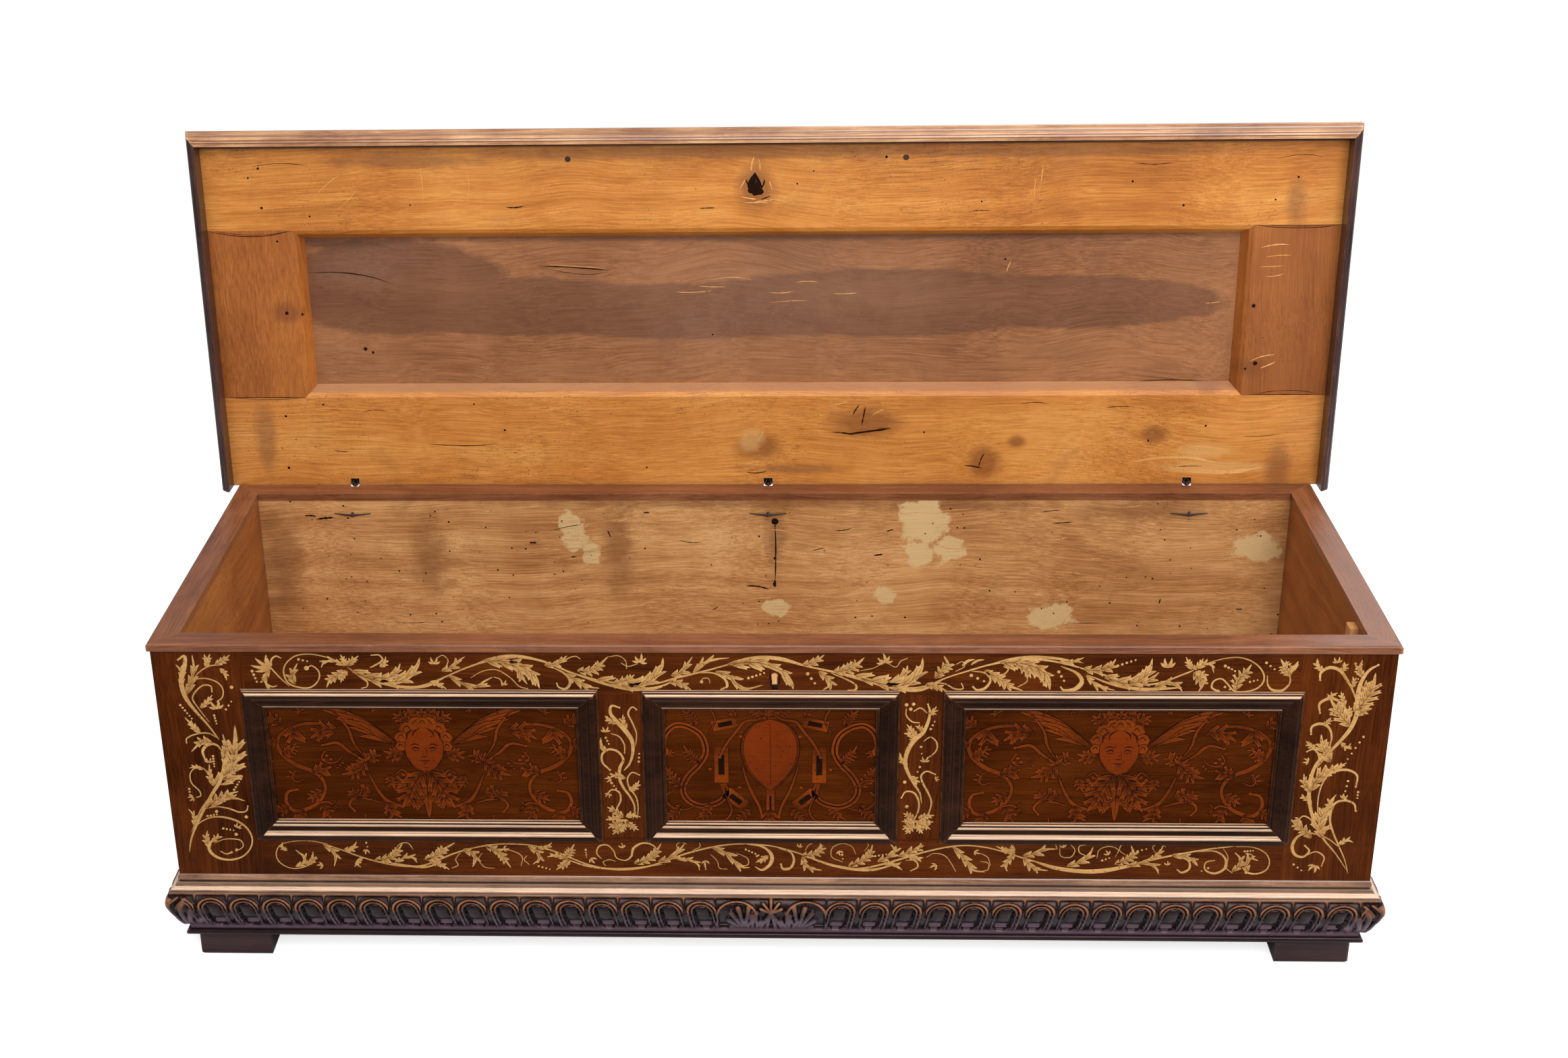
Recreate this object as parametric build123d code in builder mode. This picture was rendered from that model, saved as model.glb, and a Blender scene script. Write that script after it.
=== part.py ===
from build123d import *
import os
from math import atan, atan2, cos, degrees, radians, sin

os.makedirs("parts", exist_ok=True)

# A long storage chest with an inlaid front of three framed panels, a carved base and a hinged lid.
# Millimetres. +Z is up, the front faces -Y and the long side lies along X. The origin is on the floor,
# under the middle of the box that the chest fills with its lid open. Heights are above the floor.

# ---- rim and walls ----
rim_width = 1750.0
rim_depth = 569.3
rim_thickness = 12.5
rim_overhang = 4.1  # past the outer faces of the walls
rim_inner_lip = 0.6  # past the inner faces of the walls
rim_round = 3.0
body_middle_y = -15.0  # the walls stand this far forward, because the open lid hangs over behind
front_thickness = 32.0
side_thickness = 35.0
back_thickness = 35.3

# ---- base ----
foot_height = 42.0
foot_width = 110.0
foot_inset = 12.4
foot_round = 7.0
strip_height = 8.5
plinth_height = 74.5
ledge_height = 15.5
ledge_width = 45.0
bottom_thickness = 18.0
bottom_board_count = 3
bottom_board_gap = 0.6
base_mould_height = 25.5

# ---- framing of the front ----
stile_width = 129.9
bottom_rail_width = 133.5
opening_height = 237.0
top_rail_width = 67.0
muntin_width = 75.0
centre_opening_width = 351.0
centre_opening_x = 4.5
tenon_thickness = 11.0
tenon_length = 45.0
tenon_shoulder = 9.0
tenon_setback = 19.0  # behind the face of the front
tenon_clearance = 0.15
joint_gap = 0.1  # between two boards that butt
cut_spare = 1.0  # how far a cut runs on past the face that it opens

# ---- panels and their frames of moulding ----
panel_thickness = 12.0
panel_recess = 5.0
groove_depth = 8.0
groove_clearance = 0.1
panel_edge_clearance = 0.5
frame_overlap = 7.0  # moulding over the edge of the rails and stiles
frame_clearance = 0.1
mitre_gap = 0.12
mitre_spare = 100.0  # extra length of a moulding before its ends are cut

# ---- lid, all lengths as it lies closed ----
lid_thickness = 32.0
lid_gap = 0.5  # above the rim
lid_side_gap = 9.1
lid_front_gap = 3.0
lip_drop = 31.0
lid_front_rail_width = 141.0
lid_back_rail_width = 153.0
lid_stile_width = 132.0
recess_chamfer_width = 7.0
recess_chamfer_depth = 4.0
recess_width = 17.0  # from the edge of the rails to the panel
recess_depth = 20.0
lid_tongue_thickness = 6.0
lid_tenon_thickness = 9.0
tongue_ease = 0.2  # share of the panel's edge clearance that its tongue has above and below
lid_open_angle = 91.74

# ---- hinges: two linked eyes of bent iron, one in the rim and one in the lid ----
left_hinge_margin = 193.0  # from the end of the rim
right_hinge_margin = 199.0
middle_hinge_x = -2.0
hinge_inset = 1.1  # axis forward of the rim's back edge
hinge_drop = 1.0  # axis below the top of the rim
wire_radius = 1.6
eye_clearance = 0.2
pin_radius = 2.2
pin_clearance = 0.15
pin_cut_spare = 5.0
knuckle_radius = 2.5  # where the two ends of a pin part, just off the wood
clench_length = 30.0
clench_rise = 2.5
clench_tip_radius = 0.6
clench_clearance = 0.1
loop_length = 12.0
loop_half = 4.2
loop_waist = 5.5  # how far from the axis the two legs start to close in
loop_neck = 1.7
loop_bend = 1.9
loop_collar_radius = 3.2  # where the two legs of a loop join the pin
chest_pin_angle = 42.0
lid_pin_angle = 50.0
notch_half_width = 7.0
notch_depth = 7.5
lid_notch_depth = 11.0

# ---- lock, pegs, nails and small parts ----
keyhole_x = 10.5
keyhole_drop = 32.5  # below the top of the wall
keyhole_height = 26.5
keyhole_width = 7.8
keyhole_head_radius = 4.6
plug_height = 18.5
plug_recess = 1.2
plug_depth = 14.0
plug_clearance = 0.1
lock_width = 96.0
lock_height = 56.0
lock_depth = 22.0
lock_drop = 16.0  # top of the case below the top of the wall
lock_flange = 12.0
lock_plate_thickness = 2.5
lock_round = 2.0
lock_nose_reach = 28.0
lock_nose_clearance = 0.5
peg_radius = 4.5
peg_length = 26.0
peg_proud = 0.2
peg_clearance = 0.1
peg_places = ((-310.0, 541.0), (212.0, 540.0))  # along the lid, and forward of the hinge axis
catch_place = (-20.0, 497.0)
catch_pocket_depth = 9.0
catch_pocket = ((1, -18), (-5, -8), (-11, 9), (-2, 16), (11, 13), (8, -3))  # x and y from its place
catch_wire_radius = 1.9
catch_root_size = 9.0
catch_root_thickness = 2.4
catch_prongs = ((1.0, -3.0, 1.2, 15.0), (-2.0, -8.0, 0.1, 6.0))  # x, place forward, lean forward, length
cleat_length = 22.0
cleat_reach = 12.0
cleat_height = 24.0
cleat_from_front = 50.0
cleat_drop = 4.0
cleat_chamfer = 0.8
nail_head_radius = 5.0
nail_head_height = 1.6
nail_head_slope = 40.0
nail_shank_radius = 2.0
nail_length = 62.0
nails_per_side = 5
nail_margin = 40.0
nail_clearance = 0.1

# ---- places worked out from the sizes ----
side_x = rim_width / 2 - rim_overhang
inner_x = side_x - side_thickness
front_y = body_middle_y - rim_depth / 2 + rim_overhang
back_y = body_middle_y + rim_depth / 2 - rim_overhang
inner_front_y = front_y + front_thickness
inner_back_y = back_y - back_thickness
rim_front_y = front_y - rim_overhang
rim_back_y = back_y + rim_overhang
plinth_bottom = foot_height + strip_height
ledge_top = plinth_bottom + ledge_height
plinth_top = plinth_bottom + plinth_height
floor_top = ledge_top + bottom_thickness
opening_bottom = floor_top + bottom_rail_width
opening_top = opening_bottom + opening_height
wall_top = opening_top + top_rail_width
rim_top = wall_top + rim_thickness
keyhole_top = wall_top - keyhole_drop
keyhole_foot = keyhole_top - keyhole_height
stile_x = side_x - stile_width
centre_left = centre_opening_x - centre_opening_width / 2
centre_right = centre_opening_x + centre_opening_width / 2
openings = {
    "left": (-stile_x, centre_left - muntin_width),
    "centre": (centre_left, centre_right),
    "right": (centre_right + muntin_width, stile_x),
}
tenon_y = (front_y + tenon_setback - tenon_thickness / 2, front_y + tenon_setback + tenon_thickness / 2)
hinge_places = {
    "left": left_hinge_margin - rim_width / 2,
    "middle": middle_hinge_x,
    "right": rim_width / 2 - right_hinge_margin,
}
hinge_y = rim_back_y - hinge_inset
hinge_z = rim_top - hinge_drop
lid_bottom = rim_top + lid_gap
lid_top = lid_bottom + lid_thickness
lid_x = rim_width / 2 + lid_side_gap
lid_front_y = rim_front_y - lid_front_gap
lid_rail_front_y = lid_front_y + lid_front_rail_width
lid_rail_back_y = rim_back_y - lid_back_rail_width
lid_stile_x = lid_x - lid_stile_width
sight_x = lid_stile_x - recess_width
sight_front_y = lid_rail_front_y + recess_width
sight_back_y = lid_rail_back_y - recess_width
hinge_axis = Axis((0, hinge_y, hinge_z), (1, 0, 0))


# ---- helpers ----
def block(x, y, z, mode=Mode.ADD):
    """A box between the low and the high value of each of x, y and z."""
    with Locations(((x[0] + x[1]) / 2, (y[0] + y[1]) / 2, (z[0] + z[1]) / 2)):
        Box(x[1] - x[0], y[1] - y[0], z[1] - z[0], mode=mode)


def grown(span, by):
    """The span (low, high) made longer by the same length at each end."""
    return (span[0] - by, span[1] + by)


def finish(piece, name):
    """Label a piece of the chest and write it."""
    piece.part.label = name
    export_step(piece.part, f"parts/{name}.step")


def hang(piece, name):
    """Turn a closed piece of the lid to where it stands open, label it and write it."""
    opened = piece.part.rotate(hinge_axis, -lid_open_angle)
    opened.label = name
    export_step(opened, f"parts/{name}.step")


def strip(section, length, outline, start=0.0, end=0.0):
    """A length of moulding. The section's x runs across it, its y out of the face and its z along it.
    start and end say how much each end draws in for every millimetre of x: 1 and -1 are mitres."""
    with BuildPart() as piece:
        with BuildSketch(section):
            with BuildLine():
                outline()
            make_face()
        extrude(amount=length / 2 + mitre_spare, both=True)
        for way, draw_in in ((1, end), (-1, start)):
            gap = mitre_gap if draw_in else 0
            cut_origin = section.origin + section.z_dir * (way * (length / 2 - gap))
            cut = Plane(cut_origin, z_dir=section.z_dir * way + section.x_dir * draw_in)
            split(bisect_by=cut, keep=Keep.BOTTOM)
    return piece


def outward(x, y, z, facing):
    """The section plane of a strip that runs round the body: x outward, y up."""
    x_dir = {"front": (0, -1, 0), "left": (-1, 0, 0), "right": (1, 0, 0), "back": (0, 1, 0)}[facing]
    return Plane((x, y, z), x_dir=x_dir, z_dir=Vector(*x_dir).cross(Vector(0, 0, 1)))


def run_round(name, outline, z, x, y_front, y_back, write):
    """Front, left and right lengths of a moulding, mitred at the front corners and cut square behind."""
    depth = y_back - y_front
    middle = (y_front + y_back) / 2
    write(strip(outward(0, y_front, z, "front"), 2 * x, outline, -1, -1), f"{name}_front")
    write(strip(outward(-x, middle, z, "left"), depth, outline, -1, 0), f"{name}_left")
    write(strip(outward(x, middle, z, "right"), depth, outline, 0, -1), f"{name}_right")


# ---- framing of the front ----
def cut_panel_grooves():
    """Grooves that hold the three panels, cut from the board being made."""
    for span in openings.values():
        block(
            grown(span, groove_depth),
            grown((front_y + panel_recess, front_y + panel_recess + panel_thickness), groove_clearance),
            grown((opening_bottom, opening_top), groove_depth),
            Mode.SUBTRACT,
        )


def rail_tenons(z, room=0.0, mode=Mode.ADD):
    """Tenons at both ends of a rail that lies between two heights, or with room, their mortises."""
    for side in (-1, 1):
        ends = sorted((side * (stile_x - cut_spare), side * (stile_x + tenon_length + room)))
        block(ends, grown(tenon_y, room), grown((z[0] + tenon_shoulder, z[1] - tenon_shoulder), room), mode)


def muntin_tenons(x, room=0.0, mode=Mode.ADD):
    """Tenons at both ends of a muntin that lies between two places in x, or their mortises."""
    wide = grown((x[0] + groove_depth + tenon_shoulder, x[1] - groove_depth - tenon_shoulder), room)
    reach = grown((opening_bottom, opening_top), tenon_length / 2 + room)
    block(wide, grown(tenon_y, room), reach, mode)


top_rail_z = (opening_top, wall_top)
bottom_rail_z = (floor_top, opening_bottom)
muntins = {"left": (openings["left"][1], centre_left), "right": (centre_right, openings["right"][0])}

for side, name in ((-1, "left"), (1, "right")):
    with BuildPart() as front_stile:
        block(sorted((side * stile_x, side * side_x)), (front_y, inner_front_y), (floor_top, wall_top))
        for rail_z in (top_rail_z, bottom_rail_z):
            rail_tenons(rail_z, tenon_clearance, Mode.SUBTRACT)
        cut_panel_grooves()
    finish(front_stile, f"front_{name}_stile")


def keyhole(depth, foot, room=0.0, mode=Mode.ADD):
    """A slot with a round head, from the face of the front to a depth behind it."""
    head_z = keyhole_top - keyhole_head_radius
    with BuildSketch(Plane.XZ.offset(-front_y)) as slot:
        with Locations((keyhole_x, (foot + head_z) / 2)):
            Rectangle(keyhole_width - 2 * room, head_z - foot)
        with Locations((keyhole_x, head_z)):
            Circle(keyhole_head_radius - room)
    extrude(slot.sketch, amount=-depth, mode=mode)


with BuildPart() as front_top_rail:
    block((-stile_x + joint_gap, stile_x - joint_gap), (front_y, inner_front_y), top_rail_z)
    rail_tenons(top_rail_z)
    for span in muntins.values():
        muntin_tenons(span, tenon_clearance, Mode.SUBTRACT)
    cut_panel_grooves()
    keyhole(front_thickness, keyhole_foot, mode=Mode.SUBTRACT)
finish(front_top_rail, "front_top_rail")

with BuildPart() as front_bottom_rail:
    block((-stile_x + joint_gap, stile_x - joint_gap), (front_y, inner_front_y), bottom_rail_z)
    rail_tenons(bottom_rail_z)
    for span in muntins.values():
        muntin_tenons(span, tenon_clearance, Mode.SUBTRACT)
    cut_panel_grooves()
finish(front_bottom_rail, "front_bottom_rail")

for name, span in muntins.items():
    with BuildPart() as muntin:
        block(span, (front_y, inner_front_y), grown((opening_bottom, opening_top), -joint_gap))
        muntin_tenons(span)
        cut_panel_grooves()
    finish(muntin, f"front_{name}_muntin")

for name, span in openings.items():
    with BuildPart() as panel:
        block(
            grown(span, groove_depth - panel_edge_clearance),
            (front_y + panel_recess, front_y + panel_recess + panel_thickness),
            grown((opening_bottom, opening_top), groove_depth - panel_edge_clearance),
        )
    finish(panel, f"{name}_panel")


# ---- frames of moulding round the panels ----
frame_seat = frame_overlap + frame_clearance  # where it steps down past the edge of the framing
frame_back = frame_clearance - panel_recess  # underside of the inner part, just clear of the panel


def frame_outline():
    """Two small steps, a bold round, a hollow, a flat round and a bead, from the outer edge inward."""
    Polyline((0, 0), (0, 2.2), (2.0, 2.9), (2.2, 4.6), (4.6, 5.4))
    ThreePointArc((4.6, 5.4), (9.3, 8.4), (13.8, 5.6))
    Polyline((13.8, 5.6), (14.5, 4.9), (15.3, 5.2))
    ThreePointArc((15.3, 5.2), (17.2, 3.8), (20.4, 3.4))
    ThreePointArc((20.4, 3.4), (24.0, 3.1), (26.6, 1.4))
    Polyline((26.6, 1.4), (27.1, 0.3), (28.2, 0.3))
    ThreePointArc((28.2, 0.3), (29.6, 1.3), (31.0, 0.2))
    Polyline((31.0, 0.2), (31.2, -1.4), (33.0, -1.8), (33.0, frame_back), (frame_seat, frame_back))
    Polyline((frame_seat, frame_back), (frame_seat, 0), (0, 0))


for name, span in openings.items():
    x_low, x_high = grown(span, frame_overlap)
    z_low, z_high = grown((opening_bottom, opening_top), frame_overlap)
    x_middle, z_middle = (x_low + x_high) / 2, (z_low + z_high) / 2
    sides = (
        ((x_middle, front_y, z_high), (0, 0, -1), x_high - x_low),
        ((x_middle, front_y, z_low), (0, 0, 1), x_high - x_low),
        ((x_low, front_y, z_middle), (1, 0, 0), z_high - z_low),
        ((x_high, front_y, z_middle), (-1, 0, 0), z_high - z_low),
    )
    strips = []
    for origin, inward, length in sides:
        section = Plane(origin, x_dir=inward, z_dir=Vector(*inward).cross(Vector(0, -1, 0)))
        strips.append(strip(section, length, frame_outline, 1, 1).part)
    panel_frame = Compound(label=f"{name}_panel_frame", children=strips)
    export_step(panel_frame, f"parts/{name}_panel_frame.step")


# ---- sides, back and floor ----
def nail_rows():
    """Places (x, z) of the nails that hold the back board to the side boards."""
    low, high = floor_top + nail_margin, wall_top - nail_margin
    step = (high - low) / (nails_per_side - 1)
    for side in (-1, 1):
        for row in range(nails_per_side):
            yield side * (side_x - side_thickness / 2), low + row * step


def nails(room=0.0, mode=Mode.ADD):
    """Shanks of the nails, or with room, the holes that they stand in."""
    for x, z in nail_rows():
        with BuildSketch(Plane((x, back_y, z), x_dir=(1, 0, 0), z_dir=(0, -1, 0))) as shank:
            Circle(nail_shank_radius + room)
        extrude(shank.sketch, amount=nail_length + room, mode=mode)


def pin_path(x, angle, near, far, radius, mode=Mode.ADD):
    """A straight rod that leaves the hinge axis forward, angle degrees down, from near to far along it."""
    way = Vector(0, -cos(radians(angle)), -sin(radians(angle)))
    start = Vector(x, hinge_y, hinge_z) + way * near
    with BuildSketch(Plane(start, x_dir=(1, 0, 0), z_dir=way)) as rod:
        Circle(radius)
    extrude(rod.sketch, amount=far - near, mode=mode)


chest_pin_reach = (hinge_y - inner_back_y + knuckle_radius) / cos(radians(chest_pin_angle))
lid_pin_reach = (lid_top - hinge_z + knuckle_radius) / sin(radians(lid_pin_angle))


def cut_chest_hinge_seats():
    """Notch and slanting hole for each hinge, in the rim and in the back board."""
    for x in hinge_places.values():
        wide = grown((x, x), notch_half_width)
        deep = (hinge_y - notch_depth, rim_back_y + cut_spare)
        block(wide, deep, (hinge_z - notch_depth, rim_top + cut_spare), Mode.SUBTRACT)
        far = chest_pin_reach + pin_cut_spare
        pin_path(x, chest_pin_angle, 0, far, pin_radius + pin_clearance, Mode.SUBTRACT)


for side, name in ((-1, "left"), (1, "right")):
    with BuildPart() as side_board:
        block(
            sorted((side * inner_x, side * side_x)),
            (inner_front_y + joint_gap, inner_back_y - joint_gap),
            (floor_top, wall_top),
        )
        nails(nail_clearance, Mode.SUBTRACT)
    finish(side_board, f"{name}_side")

with BuildPart() as back_board:
    block((-side_x, side_x), (inner_back_y, back_y), (floor_top, wall_top))
    nails(nail_clearance, Mode.SUBTRACT)
    cut_chest_hinge_seats()
finish(back_board, "back_board")

with BuildPart() as back_nails:
    nails()
    for x, z in nail_rows():
        with BuildSketch(Plane((x, back_y, z), x_dir=(1, 0, 0), z_dir=(0, 1, 0))):
            Circle(nail_head_radius)
        extrude(amount=nail_head_height, taper=nail_head_slope)
finish(back_nails, "back_nails")

board_width = (back_y - front_y) / bottom_board_count
for index in range(bottom_board_count):
    low = front_y + index * board_width
    with BuildPart() as bottom_board:
        block(
            (-side_x, side_x),
            grown((low, low + board_width), -bottom_board_gap / 2),
            (ledge_top, floor_top),
        )
    finish(bottom_board, f"bottom_board_{index + 1}")


# ---- rim ----
front_band = front_thickness + rim_overhang + rim_inner_lip
side_band = side_thickness + rim_overhang + rim_inner_lip
back_band = back_thickness + rim_overhang + rim_inner_lip


def rim_outline(band):
    """The section of a rim board, rounded on its outer edges, from its outer edge inward."""
    edge = rim_round * (1 - cos(radians(45)))
    shoulder = rim_thickness - rim_round

    def draw():
        Line((0, rim_round), (0, shoulder))
        ThreePointArc((0, shoulder), (-edge, rim_thickness - edge), (-rim_round, rim_thickness))
        Line((-rim_round, rim_thickness), (-band, rim_thickness))
        Line((-band, rim_thickness), (-band, 0))
        Line((-band, 0), (-rim_round, 0))
        ThreePointArc((-rim_round, 0), (-edge, edge), (0, rim_round))

    return draw


rim_y = (rim_front_y + rim_back_y) / 2
rim_boards = (
    ("front", 0, rim_front_y, rim_width, front_band, side_band, side_band),
    ("back", 0, rim_back_y, rim_width, back_band, side_band, side_band),
    ("left", -rim_width / 2, rim_y, rim_depth, side_band, front_band, back_band),
    ("right", rim_width / 2, rim_y, rim_depth, side_band, back_band, front_band),
)
for name, x, y, length, band, start_band, end_band in rim_boards:
    section = outward(x, y, wall_top, name)
    board = strip(section, length, rim_outline(band), -start_band / band, -end_band / band)
    with BuildPart() as rim_board:
        add(board.part)
        if name == "back":
            cut_chest_hinge_seats()
    finish(rim_board, f"rim_{name}")


# ---- base: bead and ogee, carved timber, thin strip ----
def ogee_outline():
    """A step, an ogee, a fillet and a bead, from the foot up, outward from the wall."""
    Polyline((0, 0), (14.9, 0), (14.9, 2.4), (13.8, 2.4))
    ThreePointArc((13.8, 2.4), (12.6, 5.2), (9.8, 6.4))
    ThreePointArc((9.8, 6.4), (7.2, 7.4), (6.0, 10.0))
    Polyline((6.0, 10.0), (4.8, 10.2), (4.6, 12.2), (0.9, 12.8), (0.9, 14.6))
    ThreePointArc((0.9, 14.6), (2.4, 19.6), (0.8, 24.6))
    Polyline((0.8, 24.6), (0, base_mould_height), (0, 0))


def plinth_outline():
    """The body of the carved timber: a swelling front that draws in below, and a ledge inside."""
    belly = plinth_height - 26.5
    shoulder = plinth_height - 3.0
    Polyline((-ledge_width, 0), (-5.0, 0), (-5.0, 7.0), (2.0, 11.0))
    ThreePointArc((2.0, 11.0), (13.4, (belly + 6.0) / 2), (22.4, belly))
    ThreePointArc((22.4, belly), (24.2, (belly + shoulder) / 2), (18.5, shoulder))
    Polyline((18.5, shoulder), (15.4, plinth_height), (0, plinth_height), (0, ledge_height))
    Polyline((0, ledge_height), (-ledge_width, ledge_height), (-ledge_width, 0))


def strip_outline():
    """A thin half-round strip."""
    Line((-ledge_width, 0), (-1.5, 0))
    ThreePointArc((-1.5, 0), (0.9, 0.5 * strip_height), (-1.5, strip_height))
    Polyline((-1.5, strip_height), (-ledge_width, strip_height), (-ledge_width, 0))


run_round("base_ogee", ogee_outline, plinth_top, side_x, front_y, back_y, finish)
run_round("plinth", plinth_outline, plinth_bottom, side_x, front_y, back_y, finish)
run_round("foot_strip", strip_outline, foot_height, side_x, front_y, back_y, finish)

between_x = side_x - ledge_width - joint_gap
base_backs = (("plinth_back", plinth_bottom, ledge_top), ("foot_strip_back", foot_height, plinth_bottom))
for name, low, high in base_backs:
    with BuildPart() as base_back:
        block((-between_x, between_x), (back_y - ledge_width, back_y), (low, high))
    finish(base_back, name)

for x_side, x_name in ((-1, "left"), (1, "right")):
    for y_name, y_edge, y_way in (("front", front_y, 1), ("back", back_y, -1)):
        x_edge = x_side * (side_x - foot_inset)
        foot_x = sorted((x_edge, x_edge - x_side * foot_width))
        foot_y = sorted((y_edge + y_way * foot_inset, y_edge + y_way * (foot_inset + foot_width)))
        with BuildPart() as foot:
            block(foot_x, foot_y, (0, foot_height))
            outer = foot.edges().filter_by(Axis.Z).sort_by_distance((x_edge, y_edge, 0))[0]
            fillet(outer, foot_round)
        finish(foot, f"foot_{y_name}_{x_name}")


# ---- lock case, keyhole fill and till cleat ----
lock_top = wall_top - lock_drop
with BuildPart() as lock_case:
    lock_z = (lock_top - lock_height, lock_top)
    lock_x = grown((keyhole_x, keyhole_x), lock_width / 2)
    plate_y = (inner_front_y, inner_front_y + lock_plate_thickness)
    block(grown(lock_x, lock_flange), plate_y, grown(lock_z, lock_flange / 2))
    block(lock_x, (inner_front_y, inner_front_y + lock_depth), lock_z)
    fillet(lock_case.faces().sort_by(Axis.Y)[-1].edges(), lock_round)
    nose_x = grown((keyhole_x, keyhole_x), keyhole_width / 2 - lock_nose_clearance)
    nose_z = grown((keyhole_foot, keyhole_top - plug_height), -lock_nose_clearance)
    block(nose_x, (inner_front_y - lock_nose_reach, inner_front_y), nose_z)
finish(lock_case, "lock_case")

with BuildPart() as keyhole_plug:
    keyhole(plug_depth, keyhole_top - plug_height, plug_clearance)
    block(
        grown((keyhole_x, keyhole_x), keyhole_head_radius),
        (front_y, front_y + plug_recess),
        (keyhole_foot, keyhole_top),
        Mode.SUBTRACT,
    )
finish(keyhole_plug, "keyhole_plug")

with BuildPart() as till_cleat:
    cleat_y = (inner_front_y + cleat_from_front, inner_front_y + cleat_from_front + cleat_length)
    cleat_top = wall_top - cleat_drop
    block((inner_x - cleat_reach, inner_x), cleat_y, (cleat_top - cleat_height, cleat_top))
    chamfer(till_cleat.faces().sort_by(Axis.X)[0].edges(), cleat_chamfer)
finish(till_cleat, "till_cleat")


# ---- hinge eyes of the chest and of the lid ----
clench_taper = degrees(atan((wire_radius - clench_tip_radius) / clench_length))
clench_fall = knuckle_radius - clench_tip_radius - clench_clearance  # brings the tips down on the wood


def clench(x, y, z, sideways):
    """Two tapered ends bent out along X from the place where a split pin comes through the wood."""
    with Locations((x, y, z)):
        Sphere(knuckle_radius)
    for side in (-1, 1):
        way = Vector(side * clench_length, 0, 0) + sideways
        with BuildSketch(Plane((x, y, z), x_dir=way.cross(Vector(0, 1, 1)), z_dir=way)) as tail:
            Circle(wire_radius)
        extrude(tail.sketch, amount=clench_length, taper=clench_taper)


ring_radius = 2 * wire_radius + eye_clearance
for name, x in hinge_places.items():
    with BuildPart() as chest_hinge_pin:
        with Locations(Location((x, hinge_y, hinge_z), (0, 90, 0))):
            Torus(ring_radius, wire_radius)
        pin_path(x, chest_pin_angle, ring_radius, chest_pin_reach, pin_radius)
        exit_z = hinge_z - chest_pin_reach * sin(radians(chest_pin_angle))
        clench(x, inner_back_y - knuckle_radius, exit_z, Vector(0, clench_fall, clench_rise))
    finish(chest_hinge_pin, f"chest_hinge_pin_{name}")

    loop_y_dir = Vector(0, -cos(radians(lid_pin_angle)), sin(radians(lid_pin_angle)))
    loop_plane = Plane((x, hinge_y, hinge_z), x_dir=(1, 0, 0), z_dir=Vector(1, 0, 0).cross(loop_y_dir))
    loop_points = [(-loop_neck, loop_length), (-loop_half, loop_waist), (-loop_half, 0)]
    loop_points += [(-across, along) for across, along in reversed(loop_points)]
    with BuildPart() as lid_hinge_pin:
        with BuildLine(loop_plane) as loop:
            FilletPolyline(*loop_points, radius=loop_bend)
        with BuildSketch(Plane(loop.line @ 0, z_dir=loop.line % 0)):
            Circle(wire_radius)
        sweep()
        with Locations(loop_plane.from_local_coords((0, loop_length, 0))):
            Sphere(loop_collar_radius)
        pin_path(x, -lid_pin_angle, loop_length, lid_pin_reach, pin_radius)
        exit_y = hinge_y - lid_pin_reach * cos(radians(lid_pin_angle))
        clench(x, exit_y, lid_top + knuckle_radius, Vector(0, -clench_rise, -clench_fall))
    hang(lid_hinge_pin, f"lid_hinge_pin_{name}")


# ---- lid ----
def cut_recess():
    """The recess in the underside of the lid: a chamfer, then a steeper slope down to the panel."""
    middle = (0, (lid_rail_back_y + lid_rail_front_y) / 2)
    levels = ((0.0, 0.0), (recess_chamfer_width, recess_chamfer_depth), (recess_width, recess_depth))
    for (inset, depth), (next_inset, next_depth) in zip(levels, levels[1:]):
        with BuildSketch(Plane.XY.offset(lid_bottom + depth)) as mouth:
            with Locations(middle):
                Rectangle(2 * (lid_stile_x - inset), lid_rail_back_y - lid_rail_front_y - 2 * inset)
        slope = degrees(atan2(next_inset - inset, next_depth - depth))
        extrude(mouth.sketch, amount=next_depth - depth, taper=slope, mode=Mode.SUBTRACT)


def lid_tongue(room, mode):
    """The tongue round the lid's panel, or with no room to spare, the groove that it lies in."""
    thick = (lid_bottom + recess_depth, lid_bottom + recess_depth + lid_tongue_thickness)
    block(
        grown((-sight_x, sight_x), groove_depth - room),
        grown((sight_front_y, sight_back_y), groove_depth - room),
        grown(thick, -room * tongue_ease),
        mode,
    )


def lid_board(points):
    """A board of the lid's frame with this outline, grooved and cut back along the recess."""
    with BuildSketch(Plane.XY.offset(lid_bottom)) as board:
        with BuildLine():
            Polyline(*points, close=True)
        make_face()
    extrude(board.sketch, amount=lid_thickness)
    lid_tongue(0.0, Mode.SUBTRACT)
    cut_recess()


def lid_tenons(side, room=0.0, mode=Mode.ADD):
    """Tenons at both ends of a stile of the lid, or with room, their mortises in the rails."""
    ends = (side * (lid_stile_x + tenon_shoulder), side * (lid_x - tenon_shoulder))
    middle_z = lid_bottom + recess_depth / 2
    block(
        grown(sorted(ends), room),
        grown((lid_rail_front_y, lid_rail_back_y), tenon_length + room),
        grown((middle_z, middle_z), lid_tenon_thickness / 2 + room),
        mode,
    )


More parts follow.
